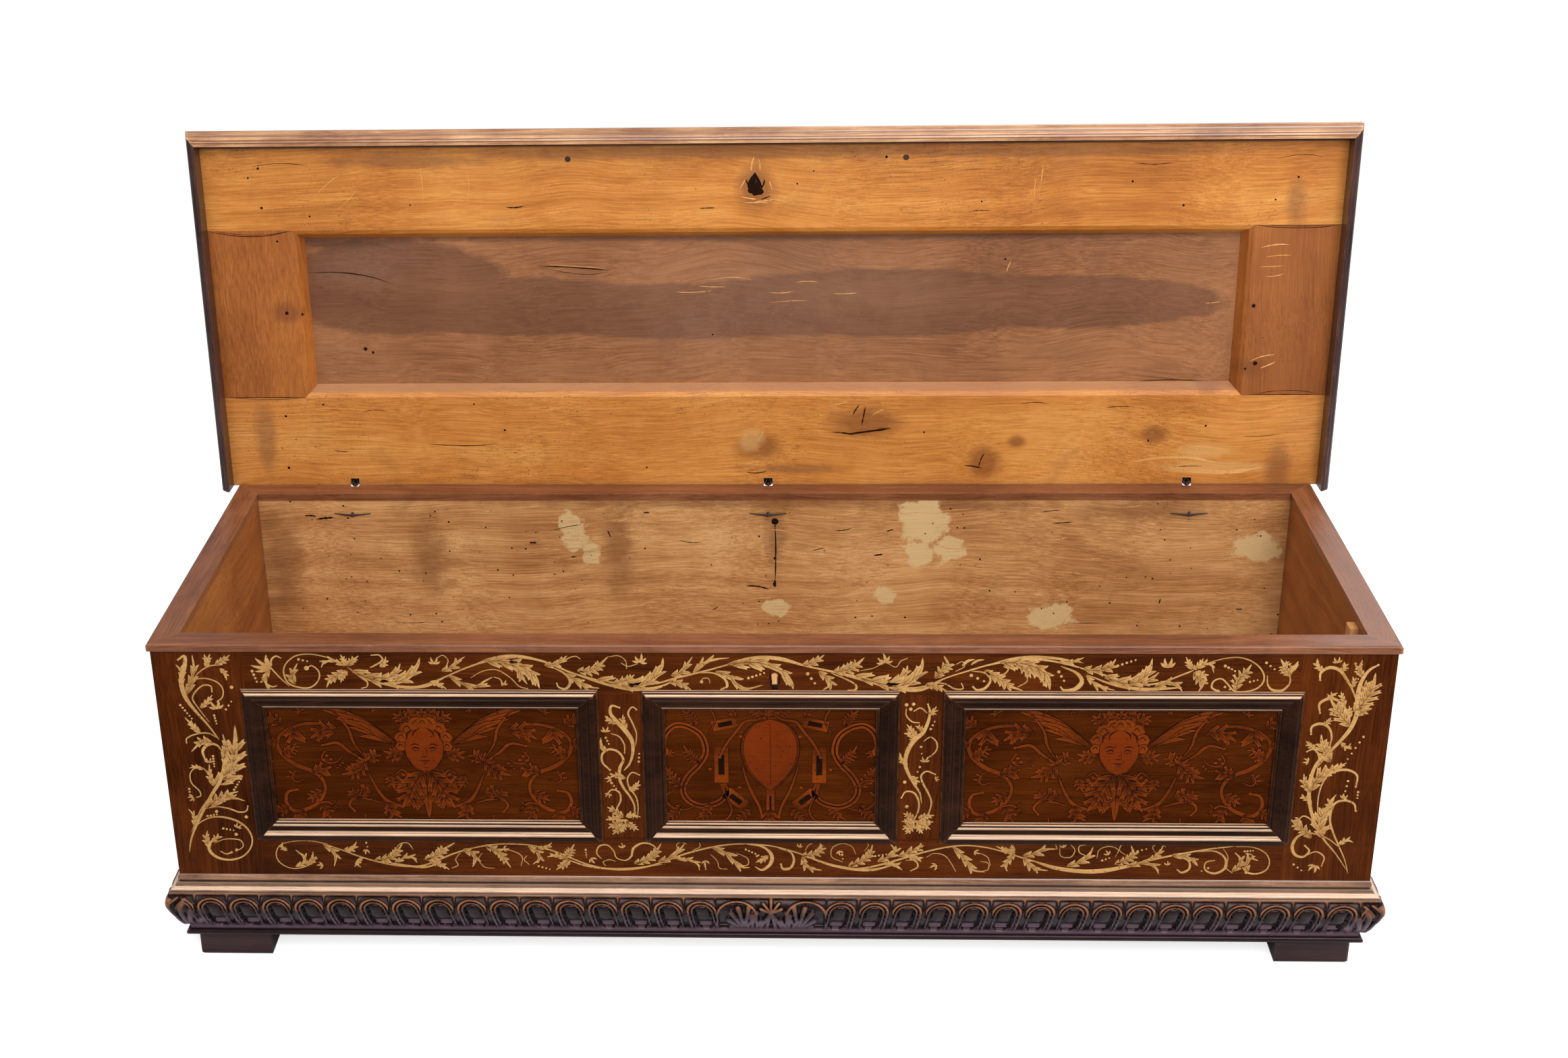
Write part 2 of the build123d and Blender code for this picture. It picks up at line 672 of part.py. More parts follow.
rails = (
    ("front", lid_front_y, lid_rail_front_y - joint_gap, sight_front_y),
    ("back", rim_back_y, lid_rail_back_y + joint_gap, sight_back_y),
)
for name, outer_y, inner_y, sight_y in rails:
    corners = [(lid_x, outer_y), (lid_x, inner_y), (lid_stile_x, inner_y), (sight_x, sight_y)]
    with BuildPart() as lid_rail:
        lid_board(corners + [(-x, y) for x, y in reversed(corners)])
        for side in (-1, 1):
            lid_tenons(side, tenon_clearance, Mode.SUBTRACT)
        if name == "front":
            for x, forward in peg_places:
                with BuildSketch(Plane((x, hinge_y - forward, lid_bottom))):
                    Circle(peg_radius + peg_clearance)
                extrude(amount=peg_length + peg_clearance, mode=Mode.SUBTRACT)
            with BuildSketch(Plane((catch_place[0], hinge_y - catch_place[1], lid_bottom))):
                with BuildLine():
                    Polyline(*catch_pocket, close=True)
                make_face()
            extrude(amount=catch_pocket_depth, mode=Mode.SUBTRACT)
        else:
            for x in hinge_places.values():
                block(
                    grown((x, x), notch_half_width),
                    (hinge_y - lid_notch_depth, rim_back_y + cut_spare),
                    (lid_bottom - cut_spare, lid_bottom + lid_notch_depth),
                    Mode.SUBTRACT,
                )
                far = lid_pin_reach + pin_cut_spare
                pin_path(x, -lid_pin_angle, 0, far, pin_radius + pin_clearance, Mode.SUBTRACT)
    hang(lid_rail, f"lid_{name}_rail")

for side, name in ((-1, "left"), (1, "right")):
    corners = [(side * lid_x, lid_rail_front_y), (side * lid_stile_x, lid_rail_front_y)]
    corners += [(side * sight_x, sight_front_y + joint_gap), (side * sight_x, sight_back_y - joint_gap)]
    corners += [(side * lid_stile_x, lid_rail_back_y), (side * lid_x, lid_rail_back_y)]
    with BuildPart() as lid_stile:
        lid_board(corners)
        lid_tenons(side)
    hang(lid_stile, f"lid_{name}_stile")

with BuildPart() as lid_panel:
    block(
        grown((-sight_x, sight_x), -panel_edge_clearance),
        grown((sight_front_y, sight_back_y), -panel_edge_clearance),
        (lid_bottom + recess_depth + groove_clearance, lid_top),
    )
    lid_tongue(panel_edge_clearance, Mode.ADD)
hang(lid_panel, "lid_panel")


def lid_edge_outline():
    """The moulded edge of the lid with its lip, outward from the board and up from its underside."""
    Polyline((0, -lip_drop), (4.5, -lip_drop), (5.2, 2.4 - lip_drop), (8.2, 3.8 - lip_drop))
    Line((8.2, 3.8 - lip_drop), (8.2, 5.4 - lip_drop))
    ThreePointArc((8.2, 5.4 - lip_drop), (11.6, 6.8 - lip_drop), (13.2, 10.5 - lip_drop))
    Polyline((13.2, 10.5 - lip_drop), (13.2, 12.0 - lip_drop), (14.4, 12.6 - lip_drop))
    ThreePointArc((14.4, 12.6 - lip_drop), (15.2, 18.5 - lip_drop), (17.0, 23.0 - lip_drop))
    ThreePointArc((17.0, 23.0 - lip_drop), (18.4, 29.0 - lip_drop), (17.2, 35.0 - lip_drop))
    Line((17.2, 35.0 - lip_drop), (16.0, 36.0 - lip_drop))
    ThreePointArc((16.0, 36.0 - lip_drop), (9.8, 13.0), (7.4, lid_thickness - 9.0))
    Polyline((7.4, lid_thickness - 9.0), (7.4, lid_thickness - 6.5), (4.6, lid_thickness - 6.0))
    ThreePointArc((4.6, lid_thickness - 6.0), (3.4, lid_thickness - 1.6), (0, lid_thickness))
    Line((0, lid_thickness), (0, -lip_drop))


run_round("lid_moulding", lid_edge_outline, lid_bottom, lid_x, lid_front_y, rim_back_y, hang)

# ---- pegs and the broken catch in the lid ----
with BuildPart() as lid_pegs:
    for x, forward in peg_places:
        with BuildSketch(Plane((x, hinge_y - forward, lid_bottom - peg_proud))):
            Circle(peg_radius)
        extrude(amount=peg_length + peg_proud)
    fillet(lid_pegs.edges().group_by(Axis.Z)[0], peg_proud * 0.9)
hang(lid_pegs, "lid_pegs")

catch_y = hinge_y - catch_place[1]
catch_floor = lid_bottom + catch_pocket_depth
with BuildPart() as lid_catch_stub:
    root_x = grown((catch_place[0], catch_place[0]), catch_root_size / 2)
    root_y = (catch_y, catch_y + catch_root_size)
    block(root_x, root_y, (catch_floor - catch_root_thickness, catch_floor))
    for x, forward, lean, length in catch_prongs:
        foot_place = (catch_place[0] + x, catch_y - forward, catch_floor - catch_root_thickness)
        with BuildSketch(Plane(foot_place, x_dir=(1, 0, 0), z_dir=(0, -lean, -1))):
            Circle(catch_wire_radius)
        extrude(amount=length)
hang(lid_catch_stub, "lid_catch_stub")
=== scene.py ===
import math
import random
import re

import bmesh
import bpy
import numpy as np
from mathutils import Matrix, Vector


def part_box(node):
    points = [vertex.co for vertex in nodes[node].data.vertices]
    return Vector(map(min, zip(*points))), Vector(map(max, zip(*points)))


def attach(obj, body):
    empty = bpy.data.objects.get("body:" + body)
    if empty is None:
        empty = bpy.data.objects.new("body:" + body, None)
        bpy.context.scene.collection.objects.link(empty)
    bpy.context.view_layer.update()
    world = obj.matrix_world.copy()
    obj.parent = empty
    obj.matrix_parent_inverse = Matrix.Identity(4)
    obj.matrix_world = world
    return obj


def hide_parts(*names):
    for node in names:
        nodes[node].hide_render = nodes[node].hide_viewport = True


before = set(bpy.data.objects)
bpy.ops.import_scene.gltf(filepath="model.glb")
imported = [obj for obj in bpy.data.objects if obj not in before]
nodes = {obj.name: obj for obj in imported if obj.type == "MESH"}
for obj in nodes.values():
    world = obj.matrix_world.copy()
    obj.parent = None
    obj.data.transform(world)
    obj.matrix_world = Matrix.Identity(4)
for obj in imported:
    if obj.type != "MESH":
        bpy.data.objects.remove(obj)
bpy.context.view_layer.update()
bpy.ops.object.select_all(action="DESELECT")
mm = 0.001
hingeAxis = np.array((0, 0.26855, 0.533))                          # on the hinge line, which runs along X
lidTurn = math.radians(91.74)                                       # from closed to open
lidDown = np.array((0.0, math.sin(lidTurn), math.cos(lidTurn)))     # from the room into the lid
lidAlong = np.array((0.0, -math.cos(lidTurn), math.sin(lidTurn)))   # from the hinge to the lip

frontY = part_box("front_top_rail")[0].y                              # outer faces of the carcase
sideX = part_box("right_side")[1].x
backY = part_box("back_board")[1].y


def nearest(name, way):
    # how far along a direction the first corner of a piece lies
    return min(way @ np.array(corner.co) for corner in nodes[name].data.vertices)


def tone(shade):
    # a screen colour, 0 to 255, as the linear colour that a shader takes
    return tuple((c / 255 / 12.92) if c < 11 else ((c / 255 + 0.055) / 1.055) ** 2.4 for c in shade) + (1,)


# camera
cameraSet = dict(place=(0.02541, -2.93506, 1.91623), yaw=2.59, pitch=-23.56, roll=1.09, lens=48.985,
                 shiftX=0.0558, shiftY=-0.0229)
bpy.ops.object.camera_add()
camera = bpy.context.object
camera.name = "camera"
turn = (Matrix.Rotation(math.radians(cameraSet["yaw"]), 3, "Z")
        @ Matrix.Rotation(math.radians(cameraSet["pitch"]), 3, "X")
        @ Matrix.Rotation(math.radians(cameraSet["roll"]), 3, "Y"))
aim = Matrix((turn @ Vector((1, 0, 0)), turn @ Vector((0, 0, 1)), turn @ Vector((0, -1, 0)))).transposed()
camera.matrix_world = Matrix.Translation(cameraSet["place"]) @ aim.to_4x4()
camera.data.lens = cameraSet["lens"]
camera.data.shift_x = cameraSet["shiftX"]
camera.data.shift_y = cameraSet["shiftY"]
bpy.context.scene.camera = camera
print("camera placed")

# light
for lamp in (
    dict(name="overhead", place=(0.0, -0.6, 3.2), at=(0, -0.1, 0.5), size=(3.4, 2.0), watts=34),
    dict(name="key", place=(0.7, -3.1, 2.9), at=(0, 0, 0.5), size=(3.2, 2.0), watts=118),
    dict(name="right", place=(3.4, -0.6, 2.1), at=(0, 0, 0.5), size=(1.8, 1.6), watts=30),
    dict(name="rear", place=(1.4, 3.0, 2.4), at=(0, 0, 0.5), size=(3.0, 1.2), watts=26),
):
    bpy.ops.object.light_add(type="AREA", location=lamp["place"])
    light = bpy.context.object
    light.name = lamp["name"] + "_lamp"
    light.rotation_euler = (Vector(lamp["at"]) - Vector(lamp["place"])).to_track_quat("-Z", "Y").to_euler()
    light.data.shape = "RECTANGLE"
    light.data.size, light.data.size_y = lamp["size"]
    light.data.energy = lamp["watts"]


def addNode(tree, kind, inputs=(), **settings):
    # one shader node, its settings, and its inputs as values or as other nodes' outputs
    new = tree.nodes.new("ShaderNode" + kind)
    for name, value in settings.items():
        setattr(new, name, value)
    for socket, value in dict(inputs).items():
        if isinstance(value, bpy.types.NodeSocket):
            tree.links.new(value, new.inputs[socket])
        else:
            new.inputs[socket].default_value = value
    return new


def newMaterial(name):
    material = bpy.data.materials.new(name)
    material.use_nodes = True
    return material, material.node_tree, material.node_tree.nodes["Principled BSDF"]


def join(output, socket):
    output.id_data.links.new(output, socket)


def mixColour(share, first, second):
    inputs = {"Factor": share, 6: first, 7: second}
    return addNode(share.id_data, "Mix", inputs, data_type="RGBA").outputs[2]


def figure(what, first, second=0.0, third=None):
    inputs = {0: first, 1: second}
    if third is not None:
        inputs[2] = third
    return addNode(first.id_data, "Math", inputs, operation=what).outputs[0]


def times(first, second):
    return figure("MULTIPLY", first, second)


def larger(first, second):
    return figure("MAXIMUM", first, second)


def vector(what, first, second):
    return addNode(first.id_data, "VectorMath", {0: first, 1: second}, operation=what).outputs[0]


def dot(first, second):
    product = addNode(first.id_data, "VectorMath", {0: first, 1: second}, operation="DOT_PRODUCT")
    return product.outputs["Value"]


def axis(value, letter):
    return addNode(value.id_data, "SeparateXYZ", {0: value}).outputs[letter]


def spread(value, low, high, to=(0.0, 1.0)):
    inputs = {"Value": value, "From Min": low, "From Max": high, "To Min": to[0], "To Max": to[1]}
    return addNode(value.id_data, "MapRange", inputs).outputs[0]


def noise(place, scale, detail, roughness, distortion=0.0):
    inputs = {"Vector": place, "Scale": scale, "Detail": detail, "Roughness": roughness,
              "Distortion": distortion}
    return addNode(place.id_data, "TexNoise", inputs).outputs[0]


def seenDirectly(tree):
    # by the camera, straight or through glass; and whether a mirror sent the ray
    rays = addNode(tree, "LightPath").outputs
    return larger(rays["Is Camera Ray"], rays["Is Transmission Ray"]), rays["Is Glossy Ray"]


world = bpy.data.worlds.new("studio")
bpy.context.scene.world = world
world.use_nodes = True
sky = world.node_tree
skyGrey = sky.nodes["Background"]
skyGrey.inputs["Color"].default_value = (0.93, 0.96, 1.0, 1)
skyGrey.inputs["Strength"].default_value = 0.36
skyWhite = addNode(sky, "Background", {"Color": (1, 1, 1, 1), "Strength": 1})
skyMix = addNode(sky, "MixShader", {0: seenDirectly(sky)[0], 1: skyGrey.outputs[0], 2: skyWhite.outputs[0]})
join(skyMix.outputs[0], sky.nodes["World Output"].inputs["Surface"])

bpy.ops.mesh.primitive_plane_add(size=14, location=(0, 0.5, -0.0004))
floor = bpy.context.object
floor.name = "studio_floor"
bpy.ops.object.transform_apply(location=True, rotation=True, scale=True)
paper, tree, shader = newMaterial("paper_floor")
paperSeen, paperMirrored = seenDirectly(tree)
paperY = axis(addNode(tree, "TexCoord").outputs["Object"], "Y")
paintedFloorReflection = spread(paperY, frontY - 0.45, frontY - 0.2, (0.1, 0.8))   # painted reflection: in mirrors the floor is dark away from the chest and pale near it
paperTone = mixColour(paperMirrored, (0.86, 0.86, 0.87, 1), paintedFloorReflection)
paperMatt = addNode(tree, "BsdfDiffuse", {"Color": paperTone})
paperGlow = addNode(tree, "Emission", {"Color": (1, 1, 1, 1), "Strength": times(paperSeen, 0.7)})
paperMix = addNode(tree, "AddShader", {0: paperMatt.outputs[0], 1: paperGlow.outputs[0]})
tree.nodes.remove(shader)
join(paperMix.outputs[0], tree.nodes["Material Output"].inputs["Surface"])
floor.data.materials.append(paper)
bpy.context.scene.view_settings.view_transform = "Standard"
print("floor and lamps placed")

# wood; every colour is a screen colour, and shades runs from dark to light
plainWood = dict(
    waver=0.012,                 # how far the grain wanders, m
    rings=26.0,                  # growth bands across the board, 1/m
    ringCount=9.0,               # bands drawn in each swell of the figure
    fibre=420.0, pore=1300.0,    # fibres and fine pores, 1/m
    stretch=0.016,               # length of a mark across, over its length along the grain
    blotch=4.5,                  # large clouds of colour, 1/m
    poreDepth=0.35, bump=0.25,
    stain=0.0, stainTone=(60, 30, 15),
    rough=0.5, roughSpread=0.18, coat=0.0, coatRough=0.25, specular=0.4, gleam=(255, 255, 255),
    cornerShade=0.6, cornerShadeReach=0.02,    # painted shade in corners and recesses, and how far out of them it reaches, m
    rub=0.0, rubTone=(190, 130, 85),
    worm=0.0, wormScale=46.0, wormSize=0.055,
    grime=0.0, grimeTone=(92, 48, 22),
    waxAndHighlight=0.0,                   # paler where a moulding faces up: worn wax, with a painted highlight for the lamps' reflection
    marks=(),                    # clouds: tone, strength, raggedness, softness, and places as
                                 # x, z, half width and half height in mm
    paintedLines=(),                    # painted shade in quirks and under the lid's lip, and one pale strip: height and half width in mm, tone, strength
)
rampStops = (0.32, 0.5, 0.68)
grainShares = dict(blotch=0.42, rings=0.08, fibre=0.5)


def shadeRamp(value, stops):
    ramp = addNode(value.id_data, "ValToRGB", {"Fac": value})
    band = ramp.color_ramp
    band.interpolation = "B_SPLINE"
    for element, (position, colour) in zip(band.elements, (stops[0], stops[-1])):
        element.position, element.color = position, colour
    for position, colour in stops[1:-1]:
        band.elements.new(position).color = colour
    return ramp.outputs["Color"]


def cloudMark(place, spots, ragged, soft):
    # round-about places on the board, from the front, in mm
    near = None
    for x, z, wide, high in spots:
        away = vector("SUBTRACT", place, (x * mm, 0.0, z * mm))
        away = vector("MULTIPLY", away, (1 / (wide * mm), 0.0, 1 / (high * mm)))
        away = addNode(place.id_data, "VectorMath", {0: away}, operation="LENGTH").outputs["Value"]
        near = away if near is None else figure("MINIMUM", near, away)
    torn = noise(place, 30.0, 6.0, 0.62)
    near = figure("MULTIPLY_ADD", figure("SUBTRACT", torn, 0.5), ragged, near)
    return spread(near, 1.0 + soft, 1.0 - soft)


def outsideOf(place, patch):
    # 1 where a board has its outside finish: past a plane, or at an end or an edge that shows
    depth = dot(place, patch["normal"])
    outside = figure("GREATER_THAN", depth, patch["reach"])
    if patch.get("both"):
        outside = larger(outside, figure("LESS_THAN", depth, -patch["reach"]))
    if "ends" in patch:
        outside = larger(outside, figure("GREATER_THAN", figure("ABSOLUTE", axis(place, "X")), patch["ends"]))
    if "heel" in patch:
        outside = larger(outside, figure("LESS_THAN", dot(place, lidAlong), patch["heel"]))
    return outside


def addGrime(colour, place, grain, look):
    # handling dirt caught in the fine grain, thicker in clouds, with specks
    clouds = noise(place, 6.0, 6.0, 0.65)
    fine = noise(grain, look["fibre"] * 1.7, 5.0, 0.8)
    specks = noise(place, 260.0, 4.0, 0.75)
    for share in (times(spread(fine, 0.5, 0.68), spread(clouds, 0.38, 0.66, (0.25, 1.0))),
                  times(spread(specks, 0.6, 0.68), spread(clouds, 0.42, 0.6))):
        colour = mixColour(times(share, look["grime"]), colour, tone(look["grimeTone"]))
    return colour


def paintReliefLightAndDust(colour, place, reliefLightAndDust):
    # painted highlight on the polished tops, dusty ground, painted shade in wells and grooves and painted
    # sheen on the sides, by the carving's depth in mm and the height in m
    depth = addNode(place.id_data, "Attribute", attribute_name="crest").outputs["Fac"]
    up = axis(place, "Z")
    polishAndHighlight, dusty, paintedLegSheen = (tone(shade) for shade in reliefLightAndDust)
    # painted highlight with worn polish on the tops of the arches
    top = times(spread(up, 0.092, 0.114), spread(depth, -2.4, -0.3))
    top = times(top, spread(noise(place, 55.0, 4.0, 0.65), 0.3, 0.55, (0.45, 1.0)))
    colour = mixColour(top, colour, polishAndHighlight)
    ground = times(spread(up, 0.108, 0.116), spread(depth, -3.2, -4.4))
    colour = mixColour(times(ground, 0.6), colour, dusty)
    # painted shade: the deepest wells turned nearly black
    colour = mixColour(times(spread(depth, -5.4, -7.0), 0.95), colour, tone((9, 6, 6)))
    # painted shade in the grooves near the top
    grooveShade = times(spread(up, 0.118, 0.108), spread(depth, -2.4, -3.8))
    colour = mixColour(times(grooveShade, 0.85), colour, tone((15, 9, 10)))
    # painted sheen of the floor on the lower sides of the arches
    sides = times(spread(up, 0.1, 0.082), spread(depth, -2.6, -0.6))
    return mixColour(times(sides, 0.8), colour, paintedLegSheen)


def woodMaterial(name, along, **changes):
    # oiled or bare wood; the grain runs along one axis of the part
    look = dict(plainWood, **changes)
    dark, middle, light = (tone(shade) for shade in look["shades"])
    material, tree, shader = newMaterial(name)
    place = addNode(tree, "TexCoord").outputs["Object"]
    wander = addNode(tree, "TexNoise", {"Vector": place, "Scale": 2.3, "Detail": 2.0}).outputs["Color"]
    wander = vector("SUBTRACT", wander, (0.5, 0.5, 0.5))
    wander = addNode(tree, "VectorMath", {0: wander, "Scale": look["waver"] * 4}, operation="SCALE")
    warped = vector("ADD", place, wander.outputs[0])

    def drawnOut(stretch):
        scale = [1.0, 1.0, 1.0]
        scale["XYZ".index(along)] = stretch
        return addNode(tree, "Mapping", {"Vector": warped, "Scale": scale}).outputs[0]

    grain = drawnOut(look["stretch"])
    blotch = noise(place, look["blotch"], 5.0, 0.6)
    rings = noise(drawnOut(look["stretch"] * 3), look["rings"] * 0.35, 1.5, 0.45)
    rings = times(figure("PINGPONG", times(rings, look["ringCount"]), 0.5), 2.0)
    fibre = noise(grain, look["fibre"], 4.0, 0.7)
    pore = noise(grain, look["pore"], 2.0, 0.6)
    value = times(blotch, grainShares["blotch"])
    value = figure("MULTIPLY_ADD", rings, grainShares["rings"], value)
    value = figure("MULTIPLY_ADD", fibre, grainShares["fibre"], value)
    colour = shadeRamp(value, list(zip(rampStops, (dark, middle, light))))
    poreMask = times(spread(pore, 0.36, 0.30), look["poreDepth"])
    colour = mixColour(poreMask, colour, dark)

    if look["stain"]:
        stain = spread(noise(place, 9.0, 6.0, 0.68, 0.4), 0.56, 0.72)
        colour = mixColour(times(stain, look["stain"]), colour, tone(look["stainTone"]))
    for markTone, strength, ragged, soft, spots in look["marks"]:
        colour = mixColour(times(cloudMark(place, spots, ragged, soft), strength), colour, tone(markTone))
    if "patch" in look:
        finishTones = (tone(shade) for shade in look["patch"]["shades"])
        finish = shadeRamp(value, list(zip(rampStops[::2], finishTones)))
        colour = mixColour(outsideOf(place, look["patch"]), colour, finish)
    if look["grime"]:
        colour = addGrime(colour, place, grain, look)
    if look["waxAndHighlight"]:
        # painted highlight with worn wax: paler by how far the surface looks up
        up = axis(addNode(tree, "NewGeometry").outputs["Normal"], "Z")
        worn = times(spread(up, *look["waxAndHighlightSpan"]), spread(fibre, 0.28, 0.6, (0.55, 1.0)))
        colour = mixColour(times(worn, look["waxAndHighlight"]), colour, tone(look["waxAndHighlightTone"]))
    # bands at set heights: mostly painted shade in quirks and under the lip
    for level, half, lineTone, strength in look["paintedLines"]:
        away = figure("ABSOLUTE", figure("SUBTRACT", axis(place, "Z"), level * mm))
        away = spread(away, half * 1.3 * mm, half * 0.5 * mm, (0.0, strength))
        colour = mixColour(times(away, spread(fibre, 0.2, 0.5, (0.5, 1.0))), colour, tone(lineTone))
    if "reliefLightAndDust" in look:
        colour = paintReliefLightAndDust(colour, place, look["reliefLightAndDust"])
    if look["cornerShade"]:
        # painted shade: the wood is darkened where ambient occlusion finds a corner or recess
        shadedNook = addNode(tree, "AmbientOcclusion", {"Distance": look["cornerShadeReach"]}, samples=6)
        shadedNook = spread(shadedNook.outputs["AO"], 0.15, 0.8, (look["cornerShade"], 0.0))
        colour = mixColour(shadedNook, colour, tuple(c * 0.16 for c in dark[:3]) + (1,))
    if look["rub"]:
        edge = addNode(tree, "AmbientOcclusion", {"Distance": 0.004}, samples=6, inside=True, only_local=True)
        edge = spread(edge.outputs["AO"], 0.75, 0.2, (0.0, look["rub"]))
        edge = times(edge, spread(noise(place, 60.0, 4.0, 0.7), 0.35, 0.6))
        colour = mixColour(edge, colour, tone(look["rubTone"]))
    height = figure("MULTIPLY_ADD", poreMask, -0.6, times(fibre, 0.5))
    if look["worm"]:
        cells = addNode(tree, "TexVoronoi", {"Vector": place, "Scale": look["wormScale"]})
        hole = spread(cells.outputs["Distance"], look["wormSize"], look["wormSize"] * 0.7)
        rare = look["worm"] * 0.2
        hole = times(hole, spread(noise(place, 3.1, 3.0, 0.6), 0.62 - rare, 0.64 - rare))
        colour = mixColour(hole, colour, tone((24, 12, 6)))
        height = figure("MULTIPLY_ADD", hole, -3.0, height)
    join(colour, shader.inputs["Base Color"])
    half = look["roughSpread"] / 2
    gloss = spread(fibre, 0.3, 0.7, (look["rough"] - half, look["rough"] + half))
    gloss = figure("MULTIPLY_ADD", figure("SUBTRACT", blotch, 0.5), look["roughSpread"], gloss)
    join(gloss, shader.inputs["Roughness"])
    shader.inputs["Specular IOR Level"].default_value = look["specular"]
    shader.inputs["Specular Tint"].default_value = tone(look["gleam"])
    shader.inputs["Coat Weight"].default_value = look["coat"]
    shader.inputs["Coat Roughness"].default_value = look["coatRough"]
    relief = addNode(tree, "Bump", {"Height": height, "Strength": look["bump"], "Distance": 0.0006})
    join(relief.outputs[0], shader.inputs["Normal"])
    return material


outsideShades = ((46, 22, 11), (104, 56, 28))
lidFaceReach = float(lidDown @ hingeAxis)
lidOutside = dict(shades=outsideShades, normal=lidDown, reach=lidFaceReach + 0.0315)

frontWood = dict(shades=((34, 11, 1), (73, 30, 4), (108, 50, 9)), rough=0.36, specular=0.05,
                 worm=0.5, wormScale=60.0, wormSize=0.06, stain=0.4, stainTone=(30, 14, 7), cornerShade=0.75)
panelWood = dict(shades=((38, 13, 1), (68, 27, 3), (92, 42, 6)), rough=0.36, specular=0.02,
                 worm=0.4, wormScale=60.0, wormSize=0.06, cornerShade=1.0, cornerShadeReach=0.03)
frameWood = dict(shades=((20, 8, 3), (38, 18, 8), (62, 33, 17)), rough=0.34, specular=0.06, coat=0.1,
                 coatRough=0.18, cornerShade=1.0, cornerShadeReach=0.006, rub=0.35, rubTone=(150, 92, 52), blotch=9.0,
                 waxAndHighlight=1.0, waxAndHighlightTone=(250, 206, 170), waxAndHighlightSpan=(0.3, 0.75))
bareWood = dict(shades=((140, 84, 40), (206, 142, 82), (246, 194, 130)), rough=0.62, cornerShade=0.6,
                cornerShadeReach=0.08, worm=0.8, wormScale=40.0, wormSize=0.075, stain=0.5, stainTone=(150, 96, 50),
                rings=20.0, ringCount=7.0, bump=0.7, waver=0.02, grime=0.85, grimeTone=(118, 72, 34))
rimWood = dict(shades=((84, 44, 24), (130, 74, 42), (168, 108, 70)), rough=0.4, coat=0.25,
               coatRough=0.3, rub=0.6, rubTone=(205, 140, 90), cornerShade=0.5, worm=0.4, stain=0.35,
               stainTone=(70, 38, 26), grime=0.65, grimeTone=(66, 34, 20))
ogeeWood = dict(shades=((80, 46, 30), (140, 96, 66), (196, 148, 112)), rough=0.3, coat=0.8,
                coatRough=0.2, cornerShade=1.0, cornerShadeReach=0.006, worm=0.4, blotch=8.0, stain=0.3,
                stainTone=(60, 32, 20), waxAndHighlight=1.0, waxAndHighlightTone=(250, 214, 182), waxAndHighlightSpan=(0.5, 0.9),
                # painted shade in the quirks and grooves of the ogee
                paintedLines=((138.5, 1.5, (26, 13, 7), 0.95), (134.9, 0.6, (50, 26, 14), 0.7),
                       (127.5, 0.7, (40, 22, 14), 0.8), (150.3, 0.6, (40, 20, 10), 0.8)))
carvedWood = dict(shades=((12, 6, 7), (25, 15, 17), (44, 30, 33)), rough=0.28, specular=0.36,
                  gleam=(232, 196, 200), cornerShade=0.95, cornerShadeReach=0.01, rub=0.5, rubTone=(120, 78, 54))
footWood = dict(shades=((36, 24, 24), (56, 38, 38), (80, 56, 54)), rough=0.5, specular=0.2, cornerShade=0.5, rub=0.3,
                rubTone=(120, 84, 66))
lidWood = dict(
    shades=((160, 88, 26), (208, 128, 46), (232, 164, 82)), rough=0.5, cornerShade=0.5, cornerShadeReach=0.03, worm=0.25,
    wormScale=44.0, stain=0.35, stainTone=(150, 84, 36), rings=16.0, ringCount=6.0, waver=0.02,
    patch=lidOutside, grime=0.95, grimeTone=(116, 62, 22),
    # painted shadow under the lip along the front rail's top, and a pale grey strip along the back rail's
    # bevel
    paintedLines=((1096.5, 3.4, (56, 28, 14), 0.85), (697.0, 5.5, (160, 118, 92), 0.7)),
    marks=(((132, 72, 30), 0.7, 0.8, 0.4,
            ((-18, 598, 34, 20), (155, 640, 52, 24), (348, 570, 24, 26), (620, 618, 22, 14),
             (-19, 1026, 26, 34), (700, 700, 20, 12), (-770, 828, 24, 14), (762, 730, 26, 14),
             (400, 606, 14, 10))),
           ((226, 172, 104), 0.55, 1.1, 0.3, ((720, 562, 90, 10), (-30, 610, 20, 20), (700, 590, 40, 12))),
           ((120, 74, 44), 0.5, 1.4, 0.4,
            ((-100, 1082, 420, 9), (420, 1080, 300, 7), (812, 1000, 16, 34), (-560, 1072, 120, 10),
             (40, 560, 80, 8), (820, 560, 18, 40), (-822, 620, 16, 60)))))
lidPanelWood = dict(
    shades=((106, 62, 34), (154, 98, 58), (188, 128, 82)), rough=0.5, cornerShade=0.6, cornerShadeReach=0.03, stain=0.25,
    stainTone=(84, 52, 38), grime=0.45, grimeTone=(78, 42, 26), rings=12.0, ringCount=5.0, waver=0.03,
    patch=dict(lidOutside, reach=lidFaceReach + 0.0295),
    marks=(((92, 54, 38), 0.58, 0.3, 0.06,      # the long dark flame in its grain
            ((-600, 862, 190, 80), (-400, 830, 250, 48), (-120, 822, 300, 46), (180, 834, 320, 56),
             (460, 834, 260, 44))),
           ((150, 112, 88), 0.3, 3.0, 0.8, ((20, 845, 190, 70), (-120, 800, 60, 50), (-640, 900, 60, 30))),
           # painted shadow along the panel's top edge, under the front rail
           ((62, 34, 22), 0.6, 0.9, 0.35, ((-690, 946, 90, 16), (0, 947, 760, 10)))))
lipWood = dict(shades=((110, 62, 40), (184, 128, 86), (236, 188, 140)), rough=0.34, coat=0.4,
               # painted shade in the lip's quirks and along its lower edge
               paintedLines=((1109.6, 0.6, (60, 26, 20), 0.85), (1112.9, 0.6, (80, 38, 28), 0.7),
                      (1118.2, 0.6, (96, 50, 36), 0.6), (1103.6, 0.9, (50, 24, 14), 0.9)),
               coatRough=0.25, cornerShade=1.0, cornerShadeReach=0.006, rub=0.9, rubTone=(232, 176, 126), blotch=8.0)
